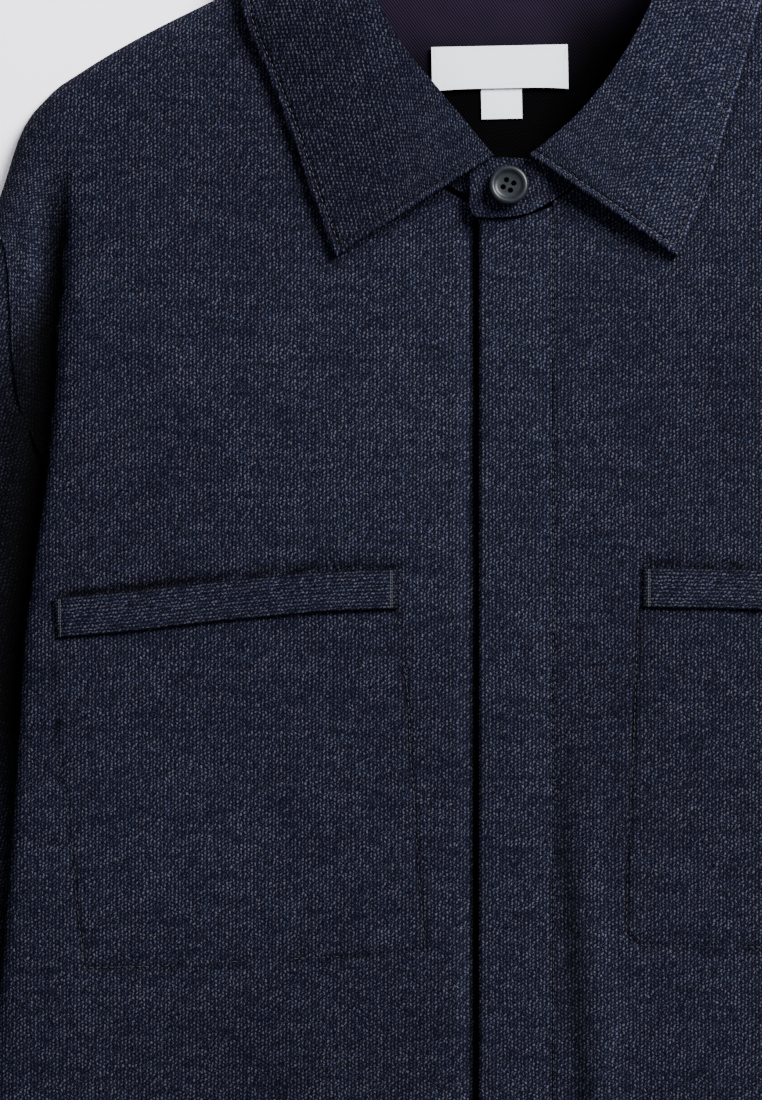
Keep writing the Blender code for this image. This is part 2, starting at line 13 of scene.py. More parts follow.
import bpy
import numpy as np
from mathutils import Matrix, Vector


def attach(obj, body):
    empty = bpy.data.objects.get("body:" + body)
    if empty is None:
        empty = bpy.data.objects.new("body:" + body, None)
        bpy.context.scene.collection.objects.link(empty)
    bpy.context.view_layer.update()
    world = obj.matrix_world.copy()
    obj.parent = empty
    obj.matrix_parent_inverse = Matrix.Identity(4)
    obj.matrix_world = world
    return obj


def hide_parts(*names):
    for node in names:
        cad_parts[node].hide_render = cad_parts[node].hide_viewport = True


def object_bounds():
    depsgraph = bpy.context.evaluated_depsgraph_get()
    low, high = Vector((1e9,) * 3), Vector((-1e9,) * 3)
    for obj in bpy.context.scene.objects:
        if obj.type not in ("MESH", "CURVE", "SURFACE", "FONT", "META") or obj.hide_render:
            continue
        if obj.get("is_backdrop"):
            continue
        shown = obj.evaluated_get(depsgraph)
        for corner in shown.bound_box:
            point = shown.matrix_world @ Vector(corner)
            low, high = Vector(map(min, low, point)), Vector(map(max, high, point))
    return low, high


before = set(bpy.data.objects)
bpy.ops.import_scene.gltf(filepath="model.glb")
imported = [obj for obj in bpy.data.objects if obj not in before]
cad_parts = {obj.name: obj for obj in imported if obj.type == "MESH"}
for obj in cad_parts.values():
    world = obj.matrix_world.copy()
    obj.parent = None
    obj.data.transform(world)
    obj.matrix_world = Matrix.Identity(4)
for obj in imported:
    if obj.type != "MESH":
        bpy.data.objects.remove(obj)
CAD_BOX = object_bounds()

Array = np.ndarray
Height = Callable[[Array, Array], Array]

MM = 0.001
LOG = logging.getLogger("shacket")

# The garment's measures, the same as the solids'
CLOTH = 2.0
SEAM = 0.3
COLLAR_TOP = -66.0
HEM = 735.0
CUFF = 690.0
MIDDLE_DOWN = (COLLAR_TOP + HEM) / 2
BODY_TOP = 15.0
SHOULDER_TOP = 13.0
SLEEVE_TOP = 8.2
SLEEVE_FLAT = 4.3
BACK_LIFT = 4.6
NECK_LIFT = 3.8
VALLEY = 4.6
SIDE_FOOT = 5.6
FOLD_HEIGHT = 3.6
SIDE_ROLL = 13.0
SHOULDER_ROLL = 15.0
SLEEVE_ROLL = 9.0
PLACKET_EDGE = -14.1
PLACKET_SEAM = 19.4
PLACKET_THICK = 3.8
PLACKET_TOP = 16.2
UNDERLAP = 14.0
LEAF_THICK = 2.8
STAND_THICK = 2.2
LINING_THICK = 1.0
LABEL_THICK = 0.6
WELT_HEIGHT = 18.4

OUTLINE = [
    ("side", "down"),
    (93.0, -22.0), (112.0, -13.5), (139.0, -0.4), (162.0, 11.0), (182.0, 22.0), (198.0, 32.0),
    (206.5, 37.8), (213.5, 44.5), (219.5, 51.5), (225.0, 62.0), (230.6, 80.0), (237.3, 102.0),
    (247.0, 142.0), (256.0, 195.0), (264.0, 265.0), (272.0, 400.0), (279.0, 540.0), (286.0, CUFF),
]
SHOULDER_TIP = (237.3, 102.0)
SLEEVE_TIP = (238.6, 106.5)
NECK = [
    ("side", "down"),
    (0.0, 98.6), (13.0, 94.5), (26.0, 88.0), (50.0, 70.0), (72.0, 43.0), (86.0, 14.0), (93.0, -22.0),
]
BACK_NECK = [("side", "down"), (0.0, -36.0), (40.0, -34.5), (64.0, -31.0), (77.0, -25.0), (91.0, -14.5)]
BODY_EDGE = [
    ("down", "side"),
    (60.0, 200.0), (97.0, 201.5), (142.0, 204.5), (199.0, 209.0), (253.0, 216.0), (286.0, 220.5),
    (333.0, 223.6), (359.0, 225.0), (500.0, 236.5), (HEM, 258.0),
]
FRONT_ARMHOLE = [
    ("side", "down"),
    SHOULDER_TIP, (230.4, 110.5), (228.2, 128.0), (227.0, 158.0), (224.0, 182.0), (218.0, 199.0),
    (211.4, 214.0),
]
BACK_ARMHOLE = [
    ("side", "down"), (231.0, 98.5), (218.0, 107.0), (209.5, 120.0), (201.0, 138.0), (201.5, 178.0),
]
UNDERARM = (95.0, 252.0)
SLEEVE_INNER = [("side", "down"), UNDERARM, (108.0, 380.0), (128.0, 520.0), (160.0, CUFF)]
CREASES = [
    ("side_a", "down_a", "side_b", "down_b", "height", "width"),
    (25.0, 350.0, 27.0, 735.0, -1.5, 6.0),
    (42.0, 370.0, 46.0, 735.0, 0.9, 9.0),
    (-150.0, 420.0, -60.0, 640.0, -0.9, 22.0),
    (-190.0, 120.0, -120.0, 215.0, 0.7, 20.0),
    (130.0, 500.0, 190.0, 690.0, -0.9, 24.0),
    (-110.0, 560.0, -120.0, 735.0, 1.0, 20.0),
    (95.0, 110.0, 170.0, 205.0, 0.8, 24.0),
]
COLLAR = [
    ("roll_l", "roll_r", "roll_down", "roll_z", "edge_l", "edge_r", "edge_down", "edge_z",
     "seam_side", "seam_down", "seam_z"),
    (8.2, 7.7, 71.5, 24.0, 75.8, 79.5, 117.0, 0.0, 8.0, 94.4, 15.0),
    (27.0, 20.8, 56.0, 25.5, 87.8, 89.8, 90.0, 0.0, 25.0, 85.6, 14.8),
    (41.2, 34.2, 40.0, 26.5, 97.2, 99.3, 62.0, 0.0, 49.0, 69.2, 14.6),
    (55.0, 51.0, 19.0, 27.5, 105.5, 111.0, 32.0, 0.0, 70.6, 43.0, 14.4),
    (64.5, 61.4, 0.0, 28.0, 113.0, 121.5, 6.0, 17.6, 83.0, 14.0, 14.0),
    (74.5, 73.0, -26.0, 27.0, 119.0, 124.0, -21.0, 10.5, 87.4, -10.0, 13.0),
    (74.0, 74.0, -45.0, 23.5, 108.0, 110.0, -43.0, 4.6, 84.0, -26.4, 9.0),
    (59.0, 59.0, -57.0, 18.5, 80.0, 80.0, -46.0, 0.3, 66.0, -33.4, 5.6),
    (33.0, 33.0, -63.5, 15.0, 42.0, 42.0, -35.0, 0.3, 36.0, -36.6, 4.4),
    (0.0, 0.0, -65.9, 14.0, 0.0, 0.0, -27.0, 0.3, 0.0, -37.6, 4.2),
]
WELT_RIGHT = [
    ("side", "down"),
    (-207.3, 271.8), (-177.0, 269.2), (-147.0, 265.8), (-116.0, 262.6), (-80.0, 259.6), (-51.4, 258.6),
]
WELT_LEFT = [
    ("side", "down"),
    (60.5, 258.0), (107.7, 258.8), (140.0, 261.4), (170.0, 265.6), (190.0, 268.6), (206.0, 270.8),
]
MAIN_LABEL = (-4.2, 29.0, 62.3, 19.4)
SIZE_LABEL = (-3.4, 43.6, 18.6, 18.0)
LABEL_TURN = math.radians(1.2)

# Rows of stitches: inside the collar's edge, and above the hem's edge
EDGE_STITCH = 3.8
HEM_STITCH = 22.0
# Lean of the cloth's grain on the sleeves and the stand, and sharpest bends shaded as smooth
CLOTH_LEAN = math.radians(-14.0)
CLOTH_BEND = math.radians(55)
BUTTON_BEND = math.radians(40)
# Colours of the threads that differ from the cloth's own
BAR_COLOUR = (0.009, 0.012, 0.015, 1.0)
PALE_COLOUR = (0.5, 0.52, 0.54, 1.0)

# Soft grooves on the fronts: half width and depth, then the points; the depth also sets their painted shade.
# Each pocket's first line is the opening above its welt, painted dark as a shadowed slit, and the others
# are the sewing round its bag.
POCKET_RIGHT = [
    (1.9, 0.95, [(-205.0, 270.6), (-177.0, 267.8), (-147.0, 264.2), (-116.0, 261.0), (-80.0, 258.1),
                 (-51.4, 257.4)]),
    (0.9, 0.55, [(-50.2, 277.0), (-48.6, 296.0), (-45.9, 324.5), (-45.4, 340.5), (-44.1, 356.4),
                 (-41.8, 392.3), (-38.6, 431.8)]),
    (0.9, 0.50, [(-208.9, 290.5), (-203.0, 356.4), (-198.6, 394.5), (-195.9, 420.0), (-193.6, 440.0)]),
    (1.0, 0.42, [(-193.6, 440.0), (-171.8, 439.6), (-118.2, 436.8), (-82.3, 435.0), (-56.8, 433.6),
                 (-38.6, 431.8)]),
]
POCKET_LEFT = [
    (1.6, 0.80, [(60.5, 256.6), (107.7, 257.4), (140.0, 259.8), (170.0, 264.0), (204.0, 269.2)]),
    (0.9, 0.60, [(58.6, 278.0), (57.5, 299.0), (56.8, 320.0), (55.9, 345.0), (54.1, 380.0), (52.7, 424.5)]),
    (0.9, 0.55, [(209.0, 290.0), (205.0, 350.0), (201.0, 395.0), (197.0, 432.0)]),
    (1.0, 0.50, [(52.7, 424.5), (60.0, 429.5), (108.6, 430.5), (150.0, 431.5), (197.0, 432.0)]),
]
FLY_LINE = [(0.8, 0.32, [(19.6, 100.0), (19.6, 340.0), (20.2, 735.0)])]


def rows(table: Sequence) -> Array:
    """Read a table without its heading.

    Args:
        table: Rows of numbers under a row of column names.

    Returns:
        The numbers, one row each.
    """
    return np.array(table[1:], dtype=float)


def ease(start: float | Array, end: float | Array, value: float | Array) -> Array:
    """Rise smoothly from 0 at start to 1 at end.

    Args:
        start: Value where the rise begins.
        end: Value where it is complete.
        value: Values to read it at.

    Returns:
        Shares from 0 to 1.
    """
    t = np.clip((np.asarray(value, dtype=float) - start) / (end - start), 0.0, 1.0)
    return t * t * (3.0 - 2.0 * t)


def bulge(distance: float | Array, reach: float) -> Array:
    """Quarter round: 0 at the edge, 1 from reach inwards.

    Args:
        distance: Distance from the edge.
        reach: Radius of the round.

    Returns:
        Shares from 0 to 1.
    """
    t = np.clip(np.asarray(distance, dtype=float) / reach, 0.0, 1.0)
    return np.sqrt(np.clip(1.0 - (1.0 - t) ** 2, 0.0, 1.0))


def bell(distance: float | Array, width: float) -> Array:
    """Fall off from 1 on both sides of 0.

    Args:
        distance: Distances from the middle.
        width: Distance where 1 / e is left.

    Returns:
        Shares from 0 to 1.
    """
    return np.exp(-(distance / width) ** 2)


def run_length(points: Array) -> Array:
    """Length along a line at each of its points.

    Args:
        points: Points of the line.

    Returns:
        Rising lengths from 0.
    """
    return np.concatenate(([0.0], np.cumsum(np.linalg.norm(np.diff(points, axis=0), axis=1))))


def turned(across: Array, down: Array, angle: float | Array) -> Array:
    """Turn coordinates of the cloth.

    Args:
        across: Coordinates across.
        down: Coordinates down.
        angle: The turn.

    Returns:
        Pairs of turned coordinates.
    """
    cos, sin = np.cos(angle), np.sin(angle)
    return np.stack([across * cos + down * sin, down * cos - across * sin], axis=-1)


def linked(name: str, data: bpy.types.ID) -> bpy.types.Object:
    """Put a new object in the scene.

    Args:
        name: Its name.
        data: Its mesh, curve, lamp or camera.

    Returns:
        The object.
    """
    made = bpy.data.objects.new(name, data)
    bpy.context.scene.collection.objects.link(made)
    return made


def slopes(x: Array, y: Array) -> Array:
    """Slopes of a smooth graph that never overshoots its points.

    Args:
        x: Rising positions.
        y: Values at them.

    Returns:
        The slope at each point.
    """
    step = np.diff(x)
    rise = np.diff(y) / step
    result = np.zeros_like(y)
    same = rise[:-1] * rise[1:] > 0
    wa = 2 * step[1:] + step[:-1]
    wb = step[1:] + 2 * step[:-1]
    mean = np.zeros_like(rise[1:])
    mean[same] = (wa + wb)[same] / (wa[same] / rise[:-1][same] + wb[same] / rise[1:][same])
    result[1:-1] = mean
    result[0] = rise[0]
    result[-1] = rise[-1]
    return result


def graph(x: Array, y: Array, at: float | Array) -> Array:
    """Read a smooth graph through the points (x, y).

    Args:
        x: Rising positions.
        y: Values at them.
        at: Positions to read.

    Returns:
        The values there.
    """
    x = np.asarray(x, dtype=float)
    y = np.asarray(y, dtype=float)
    at = np.clip(at, x[0], x[-1])
    i = np.clip(np.searchsorted(x, at, side="right") - 1, 0, len(x) - 2)
    h = x[i + 1] - x[i]
    t = (at - x[i]) / h
    m = slopes(x, y)
    return ((1 + 2 * t) * (1 - t) ** 2 * y[i] + t * (1 - t) ** 2 * h * m[i]
            + t * t * (3 - 2 * t) * y[i + 1] + t * t * (t - 1) * h * m[i + 1])


def along(points: Sequence, at: Sequence) -> Array:
    """Read a smooth line through points.

    Args:
        points: Points of the line.
        at: Shares 0 to 1 of its length.

    Returns:
        The points at those shares.
    """
    points = np.asarray(points, dtype=float)
    length = run_length(points)
    length /= length[-1]
    return np.stack([graph(length, points[:, k], np.asarray(at)) for k in range(points.shape[1])], axis=-1)


def finer(steps: Sequence, largest: float) -> Array:
    """Divide the gaps of a list of positions evenly.

    Args:
        steps: Rising positions.
        largest: Largest gap that may stay.

    Returns:
        The positions with more between them.
    """
    steps = np.asarray(steps, dtype=float)
    parts = []
    for start, end in zip(steps[:-1], steps[1:]):
        count = max(2, int(math.ceil((end - start) / largest)) + 1)
        parts.append(np.linspace(start, end, count)[:-1])
    return np.concatenate(parts + [steps[-1:]])


def line_distance(side: Array, down: Array, points: Sequence) -> tuple[Array, Array]:
    """Distance from a line of points in plan.

    Args:
        side: Places across the garment.
        down: Places down it.
        points: The line's points.

    Returns:
        The distance and the length along the line at the nearest point.
    """
    points = np.asarray(points, dtype=float)
    best = np.full(np.broadcast(side, down).shape, 1e9)
    run_at = np.zeros_like(best)
    start = 0.0
    for a, b in zip(points[:-1], points[1:]):
        d = b - a
        t = np.clip(((side - a[0]) * d[0] + (down - a[1]) * d[1]) / (d @ d), 0, 1)
        off = np.hypot(side - a[0] - t * d[0], down - a[1] - t * d[1])
        near = off < best
        best = np.where(near, off, best)
        run_at = np.where(near, start + t * np.linalg.norm(d), run_at)
        start += np.linalg.norm(d)
    return best, run_at


OUTLINE_FINE = along(rows(OUTLINE), np.linspace(0, 1, 160))


@dataclass
class LaidForm:
    """Heights of the laid garment over the surface, as the solids have them.

    Attributes:
        strip_start: Distance beyond the body's edge where the sleeve's strip begins to rise.
        strip_end: Distance where it has risen.
    """

    strip_start: float = 8.0
    strip_end: float = 16.5

    def body_edge(self, down: Array) -> Array:
        """Distance of the body's visible edge from the centre.

        Args:
            down: Places down the garment.

        Returns:
            The edge's side there.
        """
        table = rows(BODY_EDGE)
        return graph(table[:, 0], table[:, 1], down)

    def outline_distance(self, side: Array, down: Array) -> Array:
        """Distance inside the shoulder and sleeve outline.

        Args:
            side: Places across.
            down: Places down.

        Returns:
            The distance to the outline.
        """
        return line_distance(np.abs(side), np.asarray(down, dtype=float), OUTLINE_FINE)[0]

    def valley(self, side: Array, down: Array) -> Array:
        """Darkness beyond the fold at the armhole.

        Args:
            side: Places across.
            down: Places down.

        Returns:
            Share of the light that is lost.
        """
        over = np.abs(side) - self.body_edge(down)
        low = ease(320, 400, down)
        reach = 10.0 + 21.0 * ease(118, 185, down) * (1 - low)
        return (0.97 - 0.4 * low) * np.exp(-(np.clip(over, 0, None) / reach) ** 3)

    def sleeve_zone(self, side: Array, down: Array) -> Array:
        """Share of a sleeve's lift under the back.

        Args:
            side: Places across.
            down: Places down.

        Returns:
            1 where the back lies on a sleeve, 0 where it lies on the surface.
        """
        side = np.abs(side)
        inner = rows(SLEEVE_INNER)
        inner_side = graph(inner[:, 1], inner[:, 0], down)
        start = 178.0 + (203.0 - side) * (UNDERARM[1] - 178.0) / (203.0 - UNDERARM[0])
        above = ease(start - 40, start - 12, down)
        return ease(inner_side - 40, inner_side - 12, side) * above * (1 - ease(CUFF + 12, CUFF + 38, down))

    def back_height(self, side: Array, down: Array) -> Array:
        """Underside of the back panel.

        Args:
            side: Places across.
            down: Places down.

        Returns:
            Heights.
        """
        neck = NECK_LIFT * (1 - ease(-18, 14, down)) * ease(98, 78, np.abs(side))
        return np.maximum(BACK_LIFT * self.sleeve_zone(side, down), neck)

    def creases(self, side: Array, down: Array) -> Array:
        """Main troughs and ridges of the fronts.

        Args:
            side: Places across.
            down: Places down.

        Returns:
            Heights to add.
        """
        total = np.zeros(np.broadcast(side, down).shape)
        for side_a, down_a, side_b, down_b, height, width in rows(CREASES):
            run = np.array([side_b - side_a, down_b - down_a])
            t = ((side - side_a) * run[0] + (down - down_a) * run[1]) / (run @ run)
            clear = np.clip(t, 0, 1)
            off = np.hypot(side - side_a - clear * run[0], down - down_a - clear * run[1])
            total = total + height * bell(off, width) * ease(0, 0.35, t)
        return total

    def sleeve_height(self, side: Array, down: Array) -> Array:
        """Upper face of a sleeve.

        Args:
            side: Places across.
            down: Places down.

        Returns:
            Heights.
        """
        side = np.abs(side)
        edge = self.body_edge(down)
        strip = SHOULDER_TOP - (SHOULDER_TOP - SLEEVE_TOP) * ease(95, 210, down)
        rise = ease(edge + self.strip_start, edge + self.strip_end, side)
        level = SLEEVE_FLAT + (strip - SLEEVE_FLAT) * rise
        return FOLD_HEIGHT + (level - FOLD_HEIGHT) * bulge(self.outline_distance(side, down), SLEEVE_ROLL)

    def front_height(self, side: Array, down: Array) -> Array:
        """Upper face of a front, with the fold between body and sleeve.

        Args:
            side: Places across.
            down: Places down.

        Returns:
            Heights.
        """
        size = np.abs(side)
        edge = self.body_edge(down)
        top = SHOULDER_TOP + (BODY_TOP - SHOULDER_TOP) * ease(60, 200, down) + self.creases(side, down)
        top = top + 0.8 * np.cos(np.pi * np.clip(size / 230, 0, 1)) + 0.6 * ease(25, 0, size)
        base = 0.5 + 3.2 * ease(84, 101, down)
        plain = base + (top - base) * bulge(self.outline_distance(side, down), SHOULDER_ROLL)
        foot = VALLEY + (SIDE_FOOT - VALLEY) * ease(196, 212, down)
        foot = foot + (0.9 - foot) * ease(CUFF + 12, CUFF + 38, down)
        wall = foot + (top - foot) * bulge(np.maximum(edge + 1.0 - size, 0), SIDE_ROLL)
        rise = ease(edge + self.strip_start, edge + self.strip_end, size)
        strip = foot + (self.sleeve_height(side, down) - foot) * rise
        folded = np.where(size < edge + 1.0, wall, strip)
        share = ease(66, 112, down)
        return plain * (1 - share) + folded * share

    def right_front_height(self, side: Array, down: Array) -> Array:
        """The right front sinks where the fly placket covers it.

        Args:
            side: Places across.
            down: Places down.

        Returns:
            Heights.
        """
        dip = ease(-24, -15, side) * ease(90, 100, down)
        floor = PLACKET_TOP - PLACKET_THICK - SEAM - 0.2
        plain = self.front_height(side, down)
        return plain * (1 - dip) + np.minimum(plain, floor) * dip

    def left_front_height(self, side: Array, down: Array) -> Array:
        """The left front rises to the placket's face beside its seam.

        Args:
            side: Places across.
            down: Places down.

        Returns:
            Heights.
        """
        rise = ease(60, 22, side) * ease(60, 110, down)
        plain = self.front_height(side, down)
        return np.maximum(plain, plain * (1 - rise) + (PLACKET_TOP - 0.3) * rise)

    def world(self, side: Array, down: Array, z: Array) -> Array:
        """Turn garment measures into metres in the row frame.

        Args:
            side: Places across.
            down: Places down.
            z: Heights.

        Returns:
            Points.
        """
        side, down, z = np.broadcast_arrays(side, down, z)
        return np.stack([side, MIDDLE_DOWN - down, z], axis=-1) * MM


FORM = LaidForm()


class Slot(Enum):
    """The record's material slots."""

    KNIT = "knit"
    LINING = "lining"
    LABEL = "label"
    BUTTON = "button"


class Wire:
    """A shader value that can be reckoned with.

    Attributes:
        tree: Node tree that it lives in.
        socket: Output socket.
    """

    def __init__(self, tree: bpy.types.NodeTree, socket: bpy.types.NodeSocket) -> None:
        """Wrap a socket.

        Args:
            tree: Node tree that it lives in.
            socket: Output socket.
        """
        self.tree = tree
        self.socket = socket

    def node(self, kind: str, settings: dict | None = None, inputs: dict | None = None,
             output: int | str = 0) -> "Wire":
        """Add a node of any kind.

        Args:
            kind: Blender's name of the node type.
            settings: Values of its properties.
            inputs: Wires or values of its inputs, by name or index.
            output: Name or index of the output to use.

        Returns:
            That output.
        """
        made = self.tree.nodes.new(kind)
        for name, value in (settings or {}).items():
            setattr(made, name, value)
        for name, value in (inputs or {}).items():
            if isinstance(value, Wire):
                self.tree.links.new(value.socket, made.inputs[name])
            else:
                made.inputs[name].default_value = value
        return Wire(self.tree, made.outputs[output])

    def math(self, operation: str, *values: "Wire | float") -> "Wire":
        """Add one step of arithmetic.

        Args:
            operation: Blender's name of the step.
            *values: The numbers after this one.

        Returns:
            The result.
        """
        return self.node("ShaderNodeMath", {"operation": operation}, dict(enumerate((self, *values))))

    def back(self, operation: str, value: "Wire | float") -> "Wire":
        """Add one step with this value second.

        Args:
            operation: Blender's name of the step.
            value: The first number.

        Returns:
            The result.
        """
        return self.node("ShaderNodeMath", {"operation": operation}, {0: value, 1: self})

    def __add__(self, other: "Wire | float") -> "Wire":
        """Sum."""
        return self.math("ADD", other)

    def __radd__(self, other: "Wire | float") -> "Wire":
        """Sum, reflected."""
        return self.back("ADD", other)

    def __sub__(self, other: "Wire | float") -> "Wire":
        """Difference."""
        return self.math("SUBTRACT", other)

    def __rsub__(self, other: "Wire | float") -> "Wire":
        """Difference, reflected."""
        return self.back("SUBTRACT", other)

    def __mul__(self, other: "Wire | float") -> "Wire":
        """Product."""
        return self.math("MULTIPLY", other)

    def __rmul__(self, other: "Wire | float") -> "Wire":
        """Product, reflected."""
        return self.back("MULTIPLY", other)

    def __truediv__(self, other: "Wire | float") -> "Wire":
        """Quotient."""
        return self.math("DIVIDE", other)

    def __rtruediv__(self, other: "Wire | float") -> "Wire":
        """Quotient, reflected."""
        return self.back("DIVIDE", other)

    def floor(self) -> "Wire":
        """Round down.

        Returns:
            The whole number below.
        """
        return self.math("FLOOR")

    def size(self) -> "Wire":
        """Drop the sign.

        Returns:
            The size of the value.
        """
        return self.math("ABSOLUTE")

    def smooth(self, start: float, end: float) -> "Wire":
        """Rise smoothly from 0 at start to 1 at end.

        Args:
            start: Value where the rise begins.
            end: Value where it is complete.

        Returns:
            The share.
        """
        inputs = {"Value": self, "From Min": start, "From Max": end, "To Min": 0.0, "To Max": 1.0}
        return self.node("ShaderNodeMapRange", {"interpolation_type": "SMOOTHSTEP"}, inputs)

    def mix(self, low: "Wire | tuple", high: "Wire | tuple") -> "Wire":
        """Blend two colours by this share.

        Args:
            low: Colour at 0.
            high: Colour at 1.

        Returns:
            The blend.
        """
        return self.node("ShaderNodeMix", {"data_type": "RGBA"}, {0: self, 6: low, 7: high}, 2)

    def join(self, y: "Wire | float", z: "Wire | float" = 0.0) -> "Wire":
        """Make a vector with this value as X.

        Args:
            y: Its Y.
            z: Its Z.

        Returns:
            The vector.
        """
        return self.node("ShaderNodeCombineXYZ", None, {0: self, 1: y, 2: z})

    def part(self, axis: int) -> "Wire":
        """Take one number of a vector.

        Args:
            axis: 0, 1 or 2.

        Returns:
            The number.
        """
        return self.node("ShaderNodeSeparateXYZ", None, {0: self}, axis)

    def scaled(self, factors: tuple[float, float, float]) -> "Wire":
        """Multiply a vector.

        Args:
            factors: One factor for each axis.

        Returns:
            The product.
        """
        return self.node("ShaderNodeVectorMath", {"operation": "MULTIPLY"}, {0: self, 1: factors})

    def noise(self, scale: float, detail: float = 2.0, rough: float = 0.5) -> "Wire":
        """Read smooth noise at this vector.

        Args:
            scale: Waves a unit.
            detail: Finer layers.
            rough: Strength of the finer layers.

        Returns:
            Values round 0.5.
        """
        inputs = {"Vector": self, "Scale": scale, "Detail": detail, "Roughness": rough}
        return self.node("ShaderNodeTexNoise", None, inputs)

    def random(self) -> "Wire":
        """Read a random number for this vector.

        Returns:
            Values from 0 to 1.
        """
        return self.node("ShaderNodeTexWhiteNoise", {"noise_dimensions": "3D"}, {"Vector": self})


@dataclass(frozen=True)
class Finish:
    """A finish in general.

    Attributes:
        name: Name of the material.
        roughness: Roughness of the surface.
    """

    name: str
    roughness: float

    def start(self) -> tuple[bpy.types.Material, bpy.types.Node, Wire, Wire]:
        """Make a material with its shader and its two coordinates.

        Returns:
            The material, the shader, the grain coordinate in millimetres and the shade attribute.
        """
        made = bpy.data.materials.new(self.name)
        made.use_nodes = True
        tree = made.node_tree
        shader = tree.nodes["Principled BSDF"]
        shader.inputs["Roughness"].default_value = self.roughness
        shader.inputs["Metallic"].default_value = 0.0
        uv_node = tree.nodes.new("ShaderNodeUVMap")
        uv_node.uv_map = "grain"
        shade_node = tree.nodes.new("ShaderNodeAttribute")
        shade_node.attribute_name = "shade"
        return made, shader, Wire(tree, uv_node.outputs["UV"]), Wire(tree, shade_node.outputs["Fac"])

    def paint(self, shader: bpy.types.Node, colour: Wire | tuple, shade: Wire) -> None:
        """Feed a colour into the shader, as bright as the shade says.

        Args:
            shader: The shader.
            colour: The colour.
            shade: Its brightness.
        """
        shaded = shade.node("ShaderNodeVectorMath", {"operation": "SCALE"}, {0: colour, "Scale": shade})
        shade.tree.links.new(shaded.socket, shader.inputs["Base Color"])

    def bump(self, shader: bpy.types.Node, height: Wire, depth: float) -> None:
        """Feed a bump into the shader.

        Args:
            shader: The shader.
            height: Heights from 0 to 1.
            depth: What 1 stands for, in metres.
        """
        normal = height.node("ShaderNodeBump", None, {"Height": height, "Distance": depth, "Strength": 1.0})
        height.tree.links.new(normal.socket, shader.inputs["Normal"])


@dataclass(frozen=True)
class KnitFinish(Finish):
    """Heavy birdseye knit of a dark and a marled yarn.

    Attributes:
        column: Width of a column of loops, in millimetres.
        row: Height of a row of loops.
        dark: Colour of the dark yarn.
        light: Colour of the marled yarn.
        cool: Its bluer strands.
        relief: Depth of the loops, in metres.
    """

    column: float = 1.64
    row: float = 1.74
    dark: tuple[float, float, float, float] = (0.0012, 0.0014, 0.0052, 1.0)
    light: tuple[float, float, float, float] = (0.0465, 0.0475, 0.0665, 1.0)
    cool: tuple[float, float, float, float] = (0.031, 0.036, 0.063, 1.0)
    relief: float = 0.0004

    def build(self) -> bpy.types.Material:
        """Make the material.

        Returns:
            The material.
        """
        made, shader, uv, shade = self.start()
        wander_x = uv.noise(0.42, 2.0, 0.6) - 0.5
        wander_y = uv.scaled((0.7, 0.9, 1.0)).noise(0.52, 2.0, 0.6) - 0.5
        x = (uv.part(0) + wander_x * 1.8) / self.column
        y = (uv.part(1) + wander_y * 1.9) / self.row
        column = x.floor()
        odd = (column * 0.5 - (column * 0.5).floor()).math("GREATER_THAN", 0.25)
        lifted = y + odd * 0.5 + (column * 7.31).join(2.2).random() * 0.16
        row = lifted.floor()
        chance = column.join(row).random()
        other = column.join(row, 3.7).random()
        lean = column.join(row, 8.1).random() - 0.5
        nudge = column.join(row, 5.3).random() - 0.5
        along_cell = lifted - row - 0.5 + nudge * 0.22
        down = along_cell.size()
        across = (x - column - 0.5 + along_cell * (lean * 0.9 + 0.22) + nudge * 0.30).size()
        loop = across.smooth(0.36, 0.03) * down.smooth(0.46, 0.16)
        bridge = (0.5 - down).size().smooth(0.22, 0.02) * across.smooth(0.20, 0.50)
        strand = uv.scaled((1.0, 0.55, 1.0)).noise(1.7, 3.0, 0.8)
        streak = uv.scaled((0.045, 0.34, 1.0)).noise(1.0, 3.0, 0.6)
        patch = uv.scaled((0.03, 0.05, 1.0)).noise(1.0, 3.0, 0.6)
        marl = streak.smooth(0.30, 0.72) * 0.60 + patch.smooth(0.30, 0.72) * 0.30 + 0.55
        vary = chance * 1.00 + 0.30
        body = loop * vary + bridge * (other * 0.62)
        amount = (body * marl * (strand * 2.6 - 0.42).math("MAXIMUM", 0.10)).math("MINIMUM", 1.0)
        tint = other.smooth(0.45, 1.0).mix(self.light, self.cool)
        self.paint(shader, amount.mix(self.dark, tint), shade)
        shader.inputs["Specular IOR Level"].default_value = 0.03
        fuzz = uv.noise(5.5, 2.0, 0.6)
        self.bump(shader, loop * 0.7 + bridge * 0.45 + fuzz * 0.4, self.relief)
        return made


@dataclass(frozen=True)
class TwillFinish(Finish):
    """Smooth lining with fine diagonal ribs.

    Attributes:
        colour: Colour of the ribs.
        deep: Colour between them.
        pitch: Ribs' distance, in millimetres.
    """

    colour: tuple[float, float, float, float] = (0.0125, 0.0085, 0.0180, 1.0)
    deep: tuple[float, float, float, float] = (0.0036, 0.0024, 0.0062, 1.0)
    pitch: float = 1.1

    def build(self) -> bpy.types.Material:
        """Make the material.

        Returns:
            The material.
        """
        made, shader, uv, shade = self.start()
        run = (uv.part(0) * 0.8 - uv.part(1) * 0.6) / self.pitch
        wave = (run - run.floor() - 0.5).size().smooth(0.0, 0.5)
        cloud = uv.noise(0.08, 2.0)
        self.paint(shader, (wave * (cloud * 0.8 + 0.4)).mix(self.colour, self.deep), shade)
        shader.inputs["Specular IOR Level"].default_value = 0.01
        self.bump(shader, 1.0 - wave, 0.00012)
        return made


